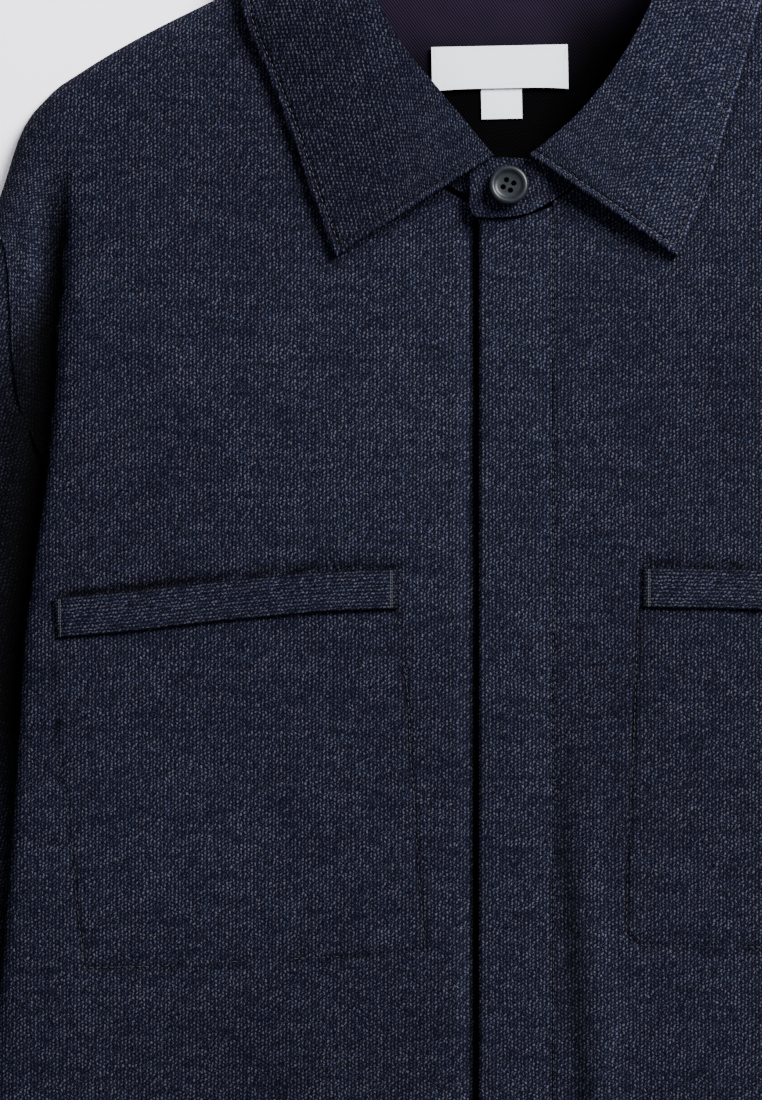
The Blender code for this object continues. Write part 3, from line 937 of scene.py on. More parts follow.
@dataclass(frozen=True)
class LabelFinish(Finish):
    """Woven label tape, bare.

    Attributes:
        colour: Colour of the tape.
    """

    colour: tuple[float, float, float, float] = (0.62, 0.65, 0.68, 1.0)

    def build(self) -> bpy.types.Material:
        """Make the material.

        Returns:
            The material.
        """
        made, shader, uv, shade = self.start()
        weave = uv.scaled((1.0, 2.4, 1.0)).noise(3.2, 1.0)
        self.paint(shader, self.colour[:3], (weave * 0.05 + 0.975) * shade)
        self.bump(shader, weave, 0.00006)
        return made


@dataclass(frozen=True)
class ThreadFinish(Finish):
    """Sewing thread.

    Attributes:
        colour: Colour of the thread.
    """

    colour: tuple[float, float, float, float] = (0.006, 0.007, 0.014, 1.0)

    def build(self) -> bpy.types.Material:
        """Make the material.

        Returns:
            The material.
        """
        made, shader, _, _ = self.start()
        shader.inputs["Base Color"].default_value = self.colour
        return made


@dataclass(frozen=True)
class ButtonFinish(Finish):
    """Polished resin with a faint grain.

    Attributes:
        colour: Colour of the resin.
        pale: Colour of its paler clouds.
    """

    colour: tuple[float, float, float, float] = (0.0035, 0.005, 0.007, 1.0)
    pale: tuple[float, float, float, float] = (0.0065, 0.0085, 0.0115, 1.0)

    def build(self) -> bpy.types.Material:
        """Make the material.

        Returns:
            The material.
        """
        made, shader, uv, _ = self.start()
        cloud = uv.scaled((0.5, 1.0, 1.0)).noise(0.5, 3.0)
        colour = cloud.smooth(0.3, 0.7).mix(self.colour, self.pale)
        made.node_tree.links.new(colour.socket, shader.inputs["Base Color"])
        shader.inputs["Specular IOR Level"].default_value = 0.22
        return made


def finish(kind: type, *values: object) -> bpy.types.Material:
    """Field of a finish that is made together with its wardrobe.

    Args:
        kind: Class of the finish.
        *values: Its name, roughness and, if given, colour.

    Returns:
        The field.
    """
    return field(default_factory=lambda: kind(*values).build())


@dataclass
class Wardrobe:
    """The finishes, each made once.

    Attributes:
        knit: The outer cloth.
        lining: The neck lining.
        label: The label tape.
        thread: The sewing.
        bar: The bars at the welts' ends.
        pale: Thread on the labels.
        button: The button.
    """

    knit: bpy.types.Material = finish(KnitFinish, "marled knit", 0.88)
    lining: bpy.types.Material = finish(TwillFinish, "lining twill", 0.62)
    label: bpy.types.Material = finish(LabelFinish, "label tape", 0.75)
    thread: bpy.types.Material = finish(ThreadFinish, "sewing thread", 0.6)
    bar: bpy.types.Material = finish(ThreadFinish, "bar thread", 0.6, BAR_COLOUR)
    pale: bpy.types.Material = finish(ThreadFinish, "pale thread", 0.6, PALE_COLOUR)
    button: bpy.types.Material = finish(ButtonFinish, "button resin", 0.40)


@dataclass
class Shell:
    """A thin closed wall of cloth on a grid of points.

    Attributes:
        name: Name of the piece.
        points: Outer face, in metres, as rows of points.
        grain: Coordinates of the cloth, in millimetres, one pair a point.
        thickness: Wall, in millimetres.
        shade: Brightness of the cloth, which carries the painted light and shade, one number a point or one
            for all.
        flip: True if the rows and columns run the other way round.
    """

    name: str
    points: Array
    grain: Array
    thickness: float
    shade: Array | float = 1.0
    flip: bool = False

    def normals(self) -> Array:
        """Outer normals of the grid.

        Returns:
            One unit vector a point.
        """
        normal = np.cross(np.gradient(self.points, axis=0), np.gradient(self.points, axis=1))
        normal /= np.maximum(np.linalg.norm(normal, axis=2), 1e-12)[..., None]
        return normal if self.flip else -normal

    def build(self, material: bpy.types.Material, lower: Array | None = None) -> bpy.types.Object:
        """Make the closed mesh.

        Args:
            material: Its finish.
            lower: Inner face, or None to lay the wall inwards.

        Returns:
            The object.
        """
        rows_n, columns_n = self.points.shape[:2]
        inner = self.points - self.normals() * self.thickness * MM if lower is None else lower
        count = rows_n * columns_n
        index = np.arange(count).reshape(rows_n, columns_n)
        quads = np.stack([index[:-1, :-1], index[:-1, 1:], index[1:, 1:], index[1:, :-1]], axis=-1)
        quads = quads.reshape(-1, 4)
        outer = quads[:, ::-1] if self.flip else quads
        under = outer[:, ::-1] + count
        ring = np.concatenate((index[0, :], index[1:, -1], index[-1, -2::-1], index[-2:0:-1, 0]))
        following = np.roll(ring, -1)
        rim = np.stack([ring, ring + count, following + count, following], axis=-1)
        rim = rim[:, ::-1] if self.flip else rim
        faces = np.concatenate((outer, under, rim))
        mesh = bpy.data.meshes.new(self.name)
        vertices = np.concatenate((self.points.reshape(-1, 3), inner.reshape(-1, 3)))
        mesh.vertices.add(len(vertices))
        mesh.vertices.foreach_set("co", vertices.ravel())
        mesh.loops.add(faces.size)
        mesh.loops.foreach_set("vertex_index", faces.ravel().astype(np.int32))
        mesh.polygons.add(len(faces))
        mesh.polygons.foreach_set("loop_start", np.arange(0, faces.size, 4, dtype=np.int32))
        mesh.update(calc_edges=True)
        grain = np.concatenate((self.grain.reshape(-1, 2), self.grain.reshape(-1, 2)))
        layer = mesh.uv_layers.new(name="grain")
        layer.data.foreach_set("uv", grain[faces.ravel()].ravel())
        shade = np.broadcast_to(self.shade, (rows_n, columns_n)).ravel()
        attribute = mesh.attributes.new("shade", "FLOAT", "POINT")
        attribute.data.foreach_set("value", np.concatenate((shade, shade)).astype(np.float32))
        mesh.materials.append(material)
        mesh.shade_smooth()
        mesh.set_sharp_from_angle(angle=CLOTH_BEND)
        return linked(self.name, mesh)


@dataclass
class Piece:
    """A dressed piece ready to be attached to the root body.

    Attributes:
        made: Its object.
        node: CAD node that it stands for, or None.
        material_slot: The record's slot; not used.
        flat: Width and length of the cut, in metres, or None if it isn't a sheet.
        area: Flat area of the cut, or None for the whole rectangle; not used.
        rests_on: Names of what it lies on.
    """

    made: bpy.types.Object
    node: str | None
    material_slot: Slot
    flat: tuple[float, float] | None = None
    area: float | None = None
    rests_on: Sequence[str] = ()

    def declare(self) -> None:
        """Attach the piece to the root body and hide the CAD node that it stands for, if any."""
        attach(self.made, "root")
        if self.node:
            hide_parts(self.node)
        if self.flat:
            list(self.rests_on)


def coons(bottom: Array, left: Array, right: Array, s: Array, t: Array, top_line: Array) -> Array:
    """Fill the area between four boundary lines, in plan.

    Args:
        bottom: Lower boundary.
        left: Boundary at s 0.
        right: Boundary at s 1.
        s: Shares across.
        t: Shares down.
        top_line: Points of the upper boundary, one for each s.

    Returns:
        Points by rows.
    """
    bottom_line = along(bottom, s)
    left_line, right_line = along(left, t), along(right, t)
    s = np.asarray(s)[None, :, None]
    t = np.asarray(t)[:, None, None]
    corners = ((1 - s) * (1 - t) * top_line[0] + s * (1 - t) * top_line[-1]
               + (1 - s) * t * bottom_line[0] + s * t * bottom_line[-1])
    return ((1 - t) * top_line[None] + t * bottom_line[None]
            + (1 - s) * left_line[:, None] + s * right_line[:, None] - corners)


def graded(first: bool, total: float, near: Sequence, far: int) -> Array:
    """Shares that start with given distances and grow evenly after.

    Args:
        first: True if the given distances are at share 0.
        total: Length that the shares divide.
        near: The distances.
        far: Number of even steps after them.

    Returns:
        Rising shares from 0 to 1.
    """
    steps = np.array(near) / total
    shares = np.concatenate((steps, np.linspace(steps[-1], 1.0, far + 1)[1:]))
    return shares if first else (1 - shares)[::-1]


def inward(line: Array, distance: float | Array) -> Array:
    """Move an outline towards the garment's middle.

    Args:
        line: Points of the outline.
        distance: How far, one number or 24.

    Returns:
        24 points of the moved outline.
    """
    fine = along(line, np.linspace(0, 1, 24))
    run = np.gradient(fine, axis=0)
    run /= np.linalg.norm(run, axis=1)[:, None]
    return fine + np.stack([-run[:, 1], run[:, 0]], axis=1) * np.broadcast_to(distance, 24)[:, None]


def side_line(inset: float = 0.0) -> Array:
    """Side edge of the body from the foot of the fold to the hem.

    Args:
        inset: How far inside that edge.

    Returns:
        Points.
    """
    down = np.linspace(226.0, HEM, 9)
    return np.stack([FORM.body_edge(down) + 1.0 - inset, down], axis=1)


def puckers(side: Array, down: Array, size: float) -> Array:
    """Small uneven rise and fall of the resting cloth.

    Args:
        side: Places across.
        down: Places down.
        size: Height.

    Returns:
        Heights to add.
    """
    first = np.sin(side * 0.061 + 1.3 + 1.4 * np.sin(down * 0.019))
    first = first * np.sin(down * 0.043 + 0.5 * np.sin(side * 0.023))
    second = 0.6 * np.sin(side * 0.027 - down * 0.051 + 0.8) * np.sin(down * 0.012 + side * 0.031 + 2.0)
    return size * (first + second)


@dataclass
class Grooves:
    """Lines of sewing pressed into a face, with the little puckers that they pull and their painted shade.

    Attributes:
        lines: Half width, depth and points of each.
        pull: Height of the puckers beside them.
    """

    lines: Sequence
    pull: float = 0.10

    def depth(self, side: Array, down: Array) -> Array:
        """Read how far the face sinks.

        Args:
            side: Places across.
            down: Places down.

        Returns:
            Heights to take away.
        """
        total = np.zeros(np.broadcast(side, down).shape)
        for width, depth, points in self.lines:
            off, run = line_distance(side, down, points)
            total = total + depth * bell(off, width * 1.4)
            beat = np.sin(run * 0.55 + 1.9 * np.sin(run * 0.11))
            total = total + self.pull * beat * bell(off, 6.0)
        return total

    def shadow(self, side: Array, down: Array) -> Array:
        """Read the painted shade in the sewing's grooves and in the pocket openings.

        Args:
            side: Places across.
            down: Places down.

        Returns:
            Brightness from 0 to 1.
        """
        total = np.ones(np.broadcast(side, down).shape)
        for width, depth, points in self.lines:
            off, run = line_distance(side, down, points)
            uneven = 0.75 + 0.25 * np.sin(run * 0.13 + 2.0 * np.sin(run * 0.037))
            total = total * (1 - np.clip(1.7 * depth * uneven, 0, 0.88) * bell(off, width))
        return total


@dataclass
class Front:
    """One front panel.

    Attributes:
        name: CAD node.
        sign: +1 for the wearer's left.
        centre: Side of its centre edge, counted towards its own side.
        height: Its upper face.
        sewing: Its lines of sewing.
        fine_side: Start and end of each band of side where points lie closer.
        fine_down: The same for down.
        step: Largest distance between points.
        fine_step: Distance between points in those bands.
        top: Down where the shares down the panel start.
        length: Length that they divide.
    """

    name: str
    sign: int
    centre: float
    height: Height
    sewing: Grooves
    fine_side: Sequence = ()
    fine_down: Sequence = ()
    step: float = 3.4
    fine_step: float = 0.75
    top: float = 100.0
    length: float = 640.0

    def plan(self) -> Array:
        """Lay out its points.

        Returns:
            Points by rows, own side positive.
        """
        neck = rows(NECK)
        dip = 1.4 if self.centre < 0 else 0.0
        start_down = float(graph(neck[:, 0], neck[:, 1], max(self.centre, 0.0))) + dip
        start = np.array([[self.centre, start_down]])
        neck = np.concatenate((start, neck[neck[:, 0] > max(self.centre, -1.0) + 3.0]))
        shoulder = rows(OUTLINE)
        shoulder = shoulder[shoulder[:, 1] <= SHOULDER_TIP[1]]
        side = np.concatenate((rows(FRONT_ARMHOLE), side_line()))
        bottom = np.array([[self.centre, HEM], side[-1]])
        width = SHOULDER_TIP[0] - self.centre
        roll = [0.0, 0.4, 0.8, 1.7, 2.6, 4.0, 5.4, 7.4, 9.5, 12.2, 15.0]
        s = graded(False, width, roll, int((width - roll[-1]) / self.step))
        at_collar = (np.array([72.0, 80.0, 86.0, 90.0, 93.0, 97.0]) - self.centre) / width
        s = self.filled(np.concatenate((s, at_collar)), self.fine_side, self.centre, width)
        side_at = self.centre + s * width
        at_neck = graph(neck[:, 0], neck[:, 1], side_at)
        at_shoulder = graph(shoulder[:, 0], shoulder[:, 1], side_at)
        top_line = np.stack([side_at, np.where(side_at <= neck[-1, 0] + 0.01, at_neck, at_shoulder)], axis=1)
        t = graded(True, self.length, roll, int((self.length - roll[-1]) / self.step))
        t = self.filled(t, self.fine_down, self.top, self.length)
        left = np.array([start[0], [self.centre, HEM]])
        return coons(bottom, left, side, s, t, top_line)

    def filled(self, shares: Array, bands: Sequence, start: float, length: float) -> Array:
        """Put closer shares in bands where sewing lies.

        Args:
            shares: Rising shares.
            bands: Start and end of each band.
            start: Place of share 0.
            length: Distance from there to share 1.

        Returns:
            Rising shares.
        """
        step = self.fine_step / length
        for band in bands:
            low, high = [(place - start) / length for place in band]
            inside = np.arange(low, high, step)
            shares = np.concatenate((shares[(shares < low - step / 2) | (shares > high)], inside))
        return np.unique(np.round(shares, 7))

    def build(self, wardrobe: Wardrobe) -> Piece:
        """Make the panel.

        Args:
            wardrobe: The finishes.

        Returns:
            The piece.
        """
        plan = self.plan()
        side, down = plan[..., 0] * self.sign, plan[..., 1]
        from_fold = np.abs(np.abs(side) - FORM.body_edge(down))
        inner = ease(2.0, 14.0, FORM.outline_distance(side, down)) * ease(2.0, 14.0, from_fold)
        z = self.height(side, down)
        relief = puckers(side, down, 0.22) * inner - self.sewing.depth(side, down) * inner
        grain = self.grain(side, down)
        upper = FORM.world(side, down, z + relief)
        shade = self.shading(side, down) * self.sewing.shadow(side, down)
        shell = Shell(self.name + "_cloth", upper, grain, CLOTH, shade, flip=self.sign > 0)
        area, sleeve = (0.160, "sleeve_right_cloth") if self.sign < 0 else (0.150, "sleeve_left_cloth")
        made = shell.build(wardrobe.knit)
        return Piece(made, self.name, Slot.KNIT, (0.29, 0.80), area, ("back_panel_cloth", sleeve))

    def grain(self, side: Array, down: Array) -> Array:
        """Coordinates of the cloth, leaning where the armhole pulls it.

        Args:
            side: Places across.
            down: Places down.

        Returns:
            Pairs in millimetres.
        """
        edge = FORM.body_edge(down)
        over = np.clip(np.abs(side) - edge, 0, None) * ease(60, 120, down)
        return np.stack([side + 0.25 * over * np.sign(side), down + 0.9 * over], axis=-1)

    def shading(self, side: Array, down: Array) -> Array:
        """Painted light and shade: slow waves of brightness, the fold, the collar's edge and the placket's
        sides.

        Args:
            side: Places across.
            down: Places down.

        Returns:
            Brightness.
        """
        # Slow waves of lighter and darker over the panel
        slow = 1.0 + 0.05 * np.sin(side * 0.021 + down * 0.013)
        slow = slow + 0.04 * np.sin(down * 0.03 - side * 0.011 + 1.0)
        # Painted shade beyond the fold at the armhole, with a painted highlight just inside the fold's edge
        over = np.abs(side) - FORM.body_edge(down)
        valley = np.where(over < 0, -0.45 * bell(over + 2.5, 5.0), FORM.valley(side, down))
        slow = slow * (1 - valley * ease(64, 120, down))
        # Painted shadow along the edge of the collar's leaf
        collar_edge = Collar().lines(self.sign)[1][:, :2]
        slow = slow * (1 - 0.45 * bell(line_distance(side, down, collar_edge)[0], 1.8))
        # Painted shade: this front a little darker all over and darker in the trough beside the fly, with a
        # painted highlight on the ridge beyond it
        if self.sign > 0:
            deep = ease(310, 420, down) * (1 - ease(540, 680, down))
            off = side - (24.2 + 0.07 * np.clip(down - 364, 0, None))
            slow = slow * (0.93 - 0.58 * bell(off, 4.2) * deep + 0.24 * bell(off - 14, 5.5) * deep)
        # Painted shadow on the right front under the placket's edge
        if self.sign < 0:
            slow = slow * (1 - 0.97 * ease(-19.6, -15.6, side) * ease(92, 104, down))
        return slow


@dataclass
class Back:
    """The back panel.

    Attributes:
        name: CAD node.
    """

    name: str = "back_panel"

    def build(self, wardrobe: Wardrobe) -> Piece:
        """Make the panel.

        Args:
            wardrobe: The finishes.

        Returns:
            The piece.
        """
        armhole = np.concatenate((rows(BACK_ARMHOLE), side_line(5.5)))
        outline = rows(OUTLINE)
        shoulder = inward(outline[outline[:, 1] <= SHOULDER_TIP[1]], np.linspace(9.0, 4.4, 24))[7:-1]
        top = np.concatenate((rows(BACK_NECK), shoulder, rows(BACK_ARMHOLE)[:1]))
        bottom = np.array([[0.0, HEM], armhole[-1]])
        left = np.array([[0.0, top[0][1]], [0.0, HEM]])
        s = finer(np.linspace(0, 1, 13), 0.034)
        t = finer(graded(True, 760.0, [0.0, 7.0, 14.0, 21.0, 28.0, 36.0, 46.0, 60.0], 24), 0.011)
        plan = coons(bottom, left, armhole, s, t, along(top, s))
        mirror = plan[:, :0:-1] * [-1, 1]
        plan = np.concatenate((mirror, plan), axis=1)
        side, down = plan[..., 0], plan[..., 1]
        upper = FORM.world(side, down, FORM.back_height(side, down) + CLOTH)
        shell = Shell(self.name + "_cloth", upper, np.stack([side, down], axis=-1), CLOTH, flip=True)
        return Piece(shell.build(wardrobe.knit), self.name, Slot.KNIT, (0.52, 0.78), 0.35, ("surface",))


@dataclass
class Sleeve:
    """One sleeve, a flattened tube.

    Attributes:
        name: CAD node.
        sign: +1 for the wearer's left.
    """

    name: str
    sign: int

    def build(self, wardrobe: Wardrobe) -> Piece:
        """Make the sleeve.

        Args:
            wardrobe: The finishes.

        Returns:
            The piece.
        """
        outer = rows(OUTLINE)
        outer = np.concatenate(([SLEEVE_TIP], outer[outer[:, 1] > SHOULDER_TIP[1]]))
        inner = rows(SLEEVE_INNER)
        cuff = np.array([inner[-1], outer[-1]])
        armhole = rows(FRONT_ARMHOLE)[1:][::-1]
        upper_seam = np.concatenate(([UNDERARM], [(198.0, 223.0)], armhole, [SLEEVE_TIP]))
        lower_seam = np.concatenate(([UNDERARM], rows(BACK_ARMHOLE)[1:][::-1], [SLEEVE_TIP]))
        share = np.linspace(0, 1, 24)
        upper_ease = np.interp(share, [0, 0.3, 0.45, 0.95, 1], [0.0, 0.0, -1.6, -1.6, 0.0])
        lower_ease = np.interp(share, [0, 0.95, 1], [2.0, 2.0, 0.0])
        t = finer(np.concatenate(([0.0, 0.02, 0.05, 0.09, 0.14, 0.2], np.linspace(0.2, 1.0, 13)[1:])), 0.009)
        near = [0.0, 0.6, 2.0, 4.5, 8.5, 14.0, 20.0, 26.0, 32.0, 38.0, 44.0, 51.0, 60.0, 72.0, 86.0]
        s_upper = finer(graded(False, 170.0, near, 3), 0.02)
        s_lower = finer(graded(False, 170.0, [0.0, 1.0, 3.0], 6), 0.05)
        upper = coons(cuff, inner, outer, s_upper, t, along(inward(upper_seam, upper_ease), s_upper))
        lower = coons(cuff, inner, outer, s_lower, t, along(inward(lower_seam, lower_ease), s_lower))
        lower_z = FOLD_HEIGHT * (1 - bulge(FORM.outline_distance(lower[..., 0], lower[..., 1]), 3.0))
        tuck = 0.9 * ease(7.0, 1.0, line_distance(upper[..., 0], upper[..., 1], rows(FRONT_ARMHOLE))[0])
        upper_z = FORM.sleeve_height(upper[..., 0], upper[..., 1]) - tuck
        high = FORM.world(upper[..., 0] * self.sign, upper[..., 1], upper_z)
        low = FORM.world(lower[..., 0] * self.sign, lower[..., 1], lower_z)
        ring = np.concatenate((high, low[:, -2::-1]), axis=1)
        plan = np.concatenate((upper, lower[:, -2::-1]), axis=1)
        grain = turned(plan[..., 0], plan[..., 1], CLOTH_LEAN) * [self.sign, 1]
        # Painted shade: the sleeve darker all over than the body, and darkest in the valley beside the body's
        # fold
        shade = 0.85 * (1 - FORM.valley(plan[..., 0], plan[..., 1]))
        shell = Shell(self.name + "_cloth", ring, grain, CLOTH, shade, flip=self.sign > 0)
        return Piece(shell.build(wardrobe.knit), self.name, Slot.KNIT, (0.40, 0.56), 0.17, ("surface",))


@dataclass
class Placket:
    """The doubled strip over the buttons.

    Attributes:
        name: CAD node.
    """

    name: str = "fly_placket"

    def build(self, wardrobe: Wardrobe) -> Piece:
        """Make the strip.

        Args:
            wardrobe: The finishes.

        Returns:
            The piece.
        """
        neck = rows(NECK)
        rolled = [PLACKET_EDGE + inset for inset in (0.0, 0.25, 0.7, 1.4, 2.2)]
        across = finer(rolled + [-4.0, 6.0, 13.0, 17.0, PLACKET_SEAM - SEAM], 2.2)
        top_line = graph(neck[:, 0], neck[:, 1], np.abs(across)) * (across > 0) + 99.8 * (across <= 0)
        top_line = np.where(across > 0, top_line + 1.8, top_line)
        share = np.linspace(0, 1, 200)[:, None]
        down = top_line[None] + share * (HEM - top_line[None])
        edge = 1.3 * (1 - bulge(across - PLACKET_EDGE, 2.2))
        z = PLACKET_TOP - edge[None] - 0.3 * ease(10, 19, across)[None]
        z = z + 0.5 * FORM.creases(across[None], down)
        z = z + puckers(across[None] * 0.6, down * 1.4, 0.10) * ease(0, 3, across - PLACKET_EDGE)[None]
        z = z - 0.35 * bell(across - 18.6, 0.9)[None]
        side = np.broadcast_to(across[None], down.shape)
        upper = FORM.world(side, down, z)
        grain = np.stack([side, down + 0.8], axis=-1)
        # Painted light: the placket a little brighter than the cloth of the fronts
        shell = Shell(self.name + "_cloth", upper, grain, PLACKET_THICK, 1.04, flip=True)
        lower = upper - np.array([0.0, 0.0, PLACKET_THICK * MM])
        made = shell.build(wardrobe.knit, lower)
        return Piece(made, self.name, Slot.KNIT, (0.034, 0.645), None, ("front_right_cloth",))


@dataclass
class Collar:
    """Stand and leaf.

    Attributes:
        at: Shares of the stations round the neck, closer at its ends.
    """

    at: Array = field(default_factory=lambda: np.concatenate((
        np.linspace(0.0, 0.022, 20), finer([0.022, 0.978], 0.0075)[1:-1], np.linspace(0.978, 1.0, 20))))

    def lines(self, sign: int) -> tuple[Array, Array, Array]:
        """Named collar measures of one side.

        Args:
            sign: +1 for the wearer's left.

        Returns:
            Roll, edge and seam lines.
        """
        table = rows(COLLAR)
        columns = {name: table[:, k] for k, name in enumerate(COLLAR[0])}
        pick = "l" if sign > 0 else "r"
        roll = np.stack([columns["roll_" + pick] * sign, columns["roll_down"], columns["roll_z"]], axis=1)
        edge = np.stack([columns["edge_" + pick] * sign, columns["edge_down"], columns["edge_z"]], axis=1)
        seam = np.stack([columns["seam_side"] * sign, columns["seam_down"], columns["seam_z"]], axis=1)
        height = FORM.left_front_height if sign > 0 else FORM.right_front_height
        lying = edge[:, 2] == 0.0
        edge[lying, 2] = height(edge[lying, 0], edge[lying, 1]) + SEAM + LEAF_THICK + 0.3
        return roll, edge, seam

    def round_the_neck(self, right: Array, left: Array) -> Array:
        """Join one side's stations, back to front, to the other's.

        Args:
            right: Stations of the wearer's right.
            left: Stations of the wearer's left.

        Returns:
            A smooth line.
        """
        line = np.concatenate((right, left[::-1][1:]))
        share = np.linspace(0, 1, len(line))
        return np.stack([graph(share, line[:, k], self.at) for k in range(3)], axis=1)

    def leaf_grid(self, share: Array) -> Array:
        """Outer face of the leaf.

        Args:
            share: Shares from the roll to the edge.

        Returns:
            Points as side, down and height.
        """
        right, left = self.lines(-1), self.lines(1)
        roll = self.round_the_neck(right[0], left[0])
        edge = self.round_the_neck(right[1], left[1])
        back = ease(0.30, 0.45, self.at) * (1 - ease(0.55, 0.70, self.at))
        grid = roll[:, None] + share[None, :, None] * (edge - roll)[:, None]
        bow = 4 * share * (1 - share)
        grid[..., 2] += (2.0 * (1 - back))[:, None] * bow[None]
        grid[..., 2] -= (back * 26.0)[:, None] * (np.sqrt(share) - share)[None]
        grid[..., 1] -= (back * 5.0)[:, None] * bow[None] * 0.4
        return grid

    def leaf(self, wardrobe: Wardrobe) -> Piece:
        """Make the leaf.

        Args:
            wardrobe: The finishes.

        Returns:
            The piece.
        """
        rim = np.linspace(0.92, 1.0, 13)[1:]
        share = np.concatenate((finer([0.0, 0.015, 0.04, 0.08, 0.14, 0.92], 0.03), rim))
        grid = self.leaf_grid(share)
        width = np.linalg.norm(grid[:, -1] - grid[:, 0], axis=1)
        from_edge = (1 - share)[None] * width[:, None]
        along_roll = run_length(grid[:, len(share) // 2])
        from_end = np.minimum(along_roll, along_roll[-1] - along_roll)[:, None] * np.ones_like(from_edge)
        near = np.minimum(from_edge, from_end)
        grid[..., 2] -= 0.42 * bell(near - 3.6, 0.9)
        grid[..., 2] -= 0.9 * (1 - bulge(near, 1.4))
        beat = np.sin(along_roll * 0.42)[:, None] * bell(near - 4.5, 3.0)
        ripple = puckers(grid[..., 0] * 1.4, grid[..., 1] * 1.4, 0.16) * ease(2, 14, near)
        grid[..., 2] += 0.10 * beat + ripple
        grid[..., 2] = np.maximum(grid[..., 2], 0.25)
        turn = math.radians(16.0) * np.clip(grid[..., 0] / 50.0, -1, 1)
        grain = turned(grid[..., 0], grid[..., 1] + grid[..., 2], turn)
        # Painted light and shade: the leaf lighter on the wearer's left and darker on the right, painted
        # shade in the edge stitching's groove and a painted highlight on the rolled rim
        shade = 0.98 + 0.09 * ease(-20, 40, grid[..., 0]) - 0.10 * ease(-20, -60, grid[..., 0])
        shade = shade * (1 - 0.55 * bell(near - EDGE_STITCH, 0.7)) * (1 + 0.22 * ease(3.0, 2.2, near))
        upper = FORM.world(grid[..., 0], grid[..., 1], grid[..., 2])
        shell = Shell("collar_leaf_cloth", upper, grain, LEAF_THICK, shade, flip=True)
        made = shell.build(wardrobe.knit)
        fronts = ("front_right_cloth", "front_left_cloth")
        return Piece(made, "collar_leaf", Slot.KNIT, (0.52, 0.085), 0.0340, fronts)

    def stand(self, wardrobe: Wardrobe) -> Piece:
        """Make the stand.

        Args:
            wardrobe: The finishes.

        Returns:
            The piece.
        """
        right, left = self.lines(-1), self.lines(1)
        seam = self.round_the_neck(right[2], left[2])
        leaf = self.leaf_grid(np.array([0.0, 0.04, 0.14, 0.35, 0.6, 0.85, 1.0]))
        facing = leaf * [1, -1, 1]
        normal = np.cross(np.gradient(facing, axis=0), np.gradient(facing, axis=1))
        normal /= np.linalg.norm(normal, axis=2)[..., None]
        up = leaf[:, 1] - normal[:, 1] * [1, -1, 1] * (LEAF_THICK + 0.9)
        seam[:, 2] += 2.9 * ease(0.93, 1.0, self.at)
        seam[:, 1] += 3.0 * ease(0.90, 0.985, self.at)
        seam[:, 2] += 0.7 * ease(0.90, 0.985, self.at)
        share = np.linspace(0, 1, 13)
        grid = seam[:, None] + share[None, :, None] * (up - seam)[:, None]
        under = grid[0] * [0, 1, 1] + [UNDERLAP - 1.0, 1.0, 0.0]
        middle = grid[0] * [0, 1, 1] + [2.0, 0.8, 0.0]
        over = grid[-1] * [0, 1, 1]
        ends = [(-3.0, 1.6, -1.2), (-12.0, 1.8, -1.0), (-16.4, 0.9, 2.2), (-18.4, -3.4, 6.5)]
        laps = [over + [side, 0, 0] + np.linspace([0, low, 0], [0, high, 0], 13) for side, low, high in ends]
        for lap in laps:
            lap[:, 2] -= share * 1.2
        under[:, 2] = np.minimum(under[:, 2] - 0.4, grid[-1][:, 2] - STAND_THICK - 0.9)
        middle[:, 2] = np.minimum(middle[:, 2] - 0.3, grid[-1][:, 2] - STAND_THICK - 0.8)
        first = np.stack([under + (middle - under) * k for k in np.linspace(0, 1, 5)[:-1]])
        second = np.stack([middle + (grid[0] - middle) * k for k in np.linspace(0, 1, 4)[:-1]])
        stations = np.stack([grid[-1]] + laps)
        place = np.linspace(0, 1, len(stations))
        fine = np.linspace(0, 1, 17)
        lap_rows = np.stack([[graph(place, stations[:, j, k], fine) for k in range(3)] for j in range(13)])
        lap_rows = lap_rows.transpose(2, 0, 1)[1:]
        whole = np.concatenate((first, second, grid, lap_rows))
        upper = FORM.world(whole[..., 0], whole[..., 1], whole[..., 2])
        grain = turned(whole[..., 0], whole[..., 1], CLOTH_LEAN)
        # Painted shade: the stand a little darker than the rest of the cloth, in the leaf's shadow
        made = Shell("collar_stand_cloth", upper, grain, STAND_THICK, 0.92).build(wardrobe.knit)
        return Piece(made, "collar_stand", Slot.KNIT, (0.48, 0.034), None, ("front_right_cloth",))


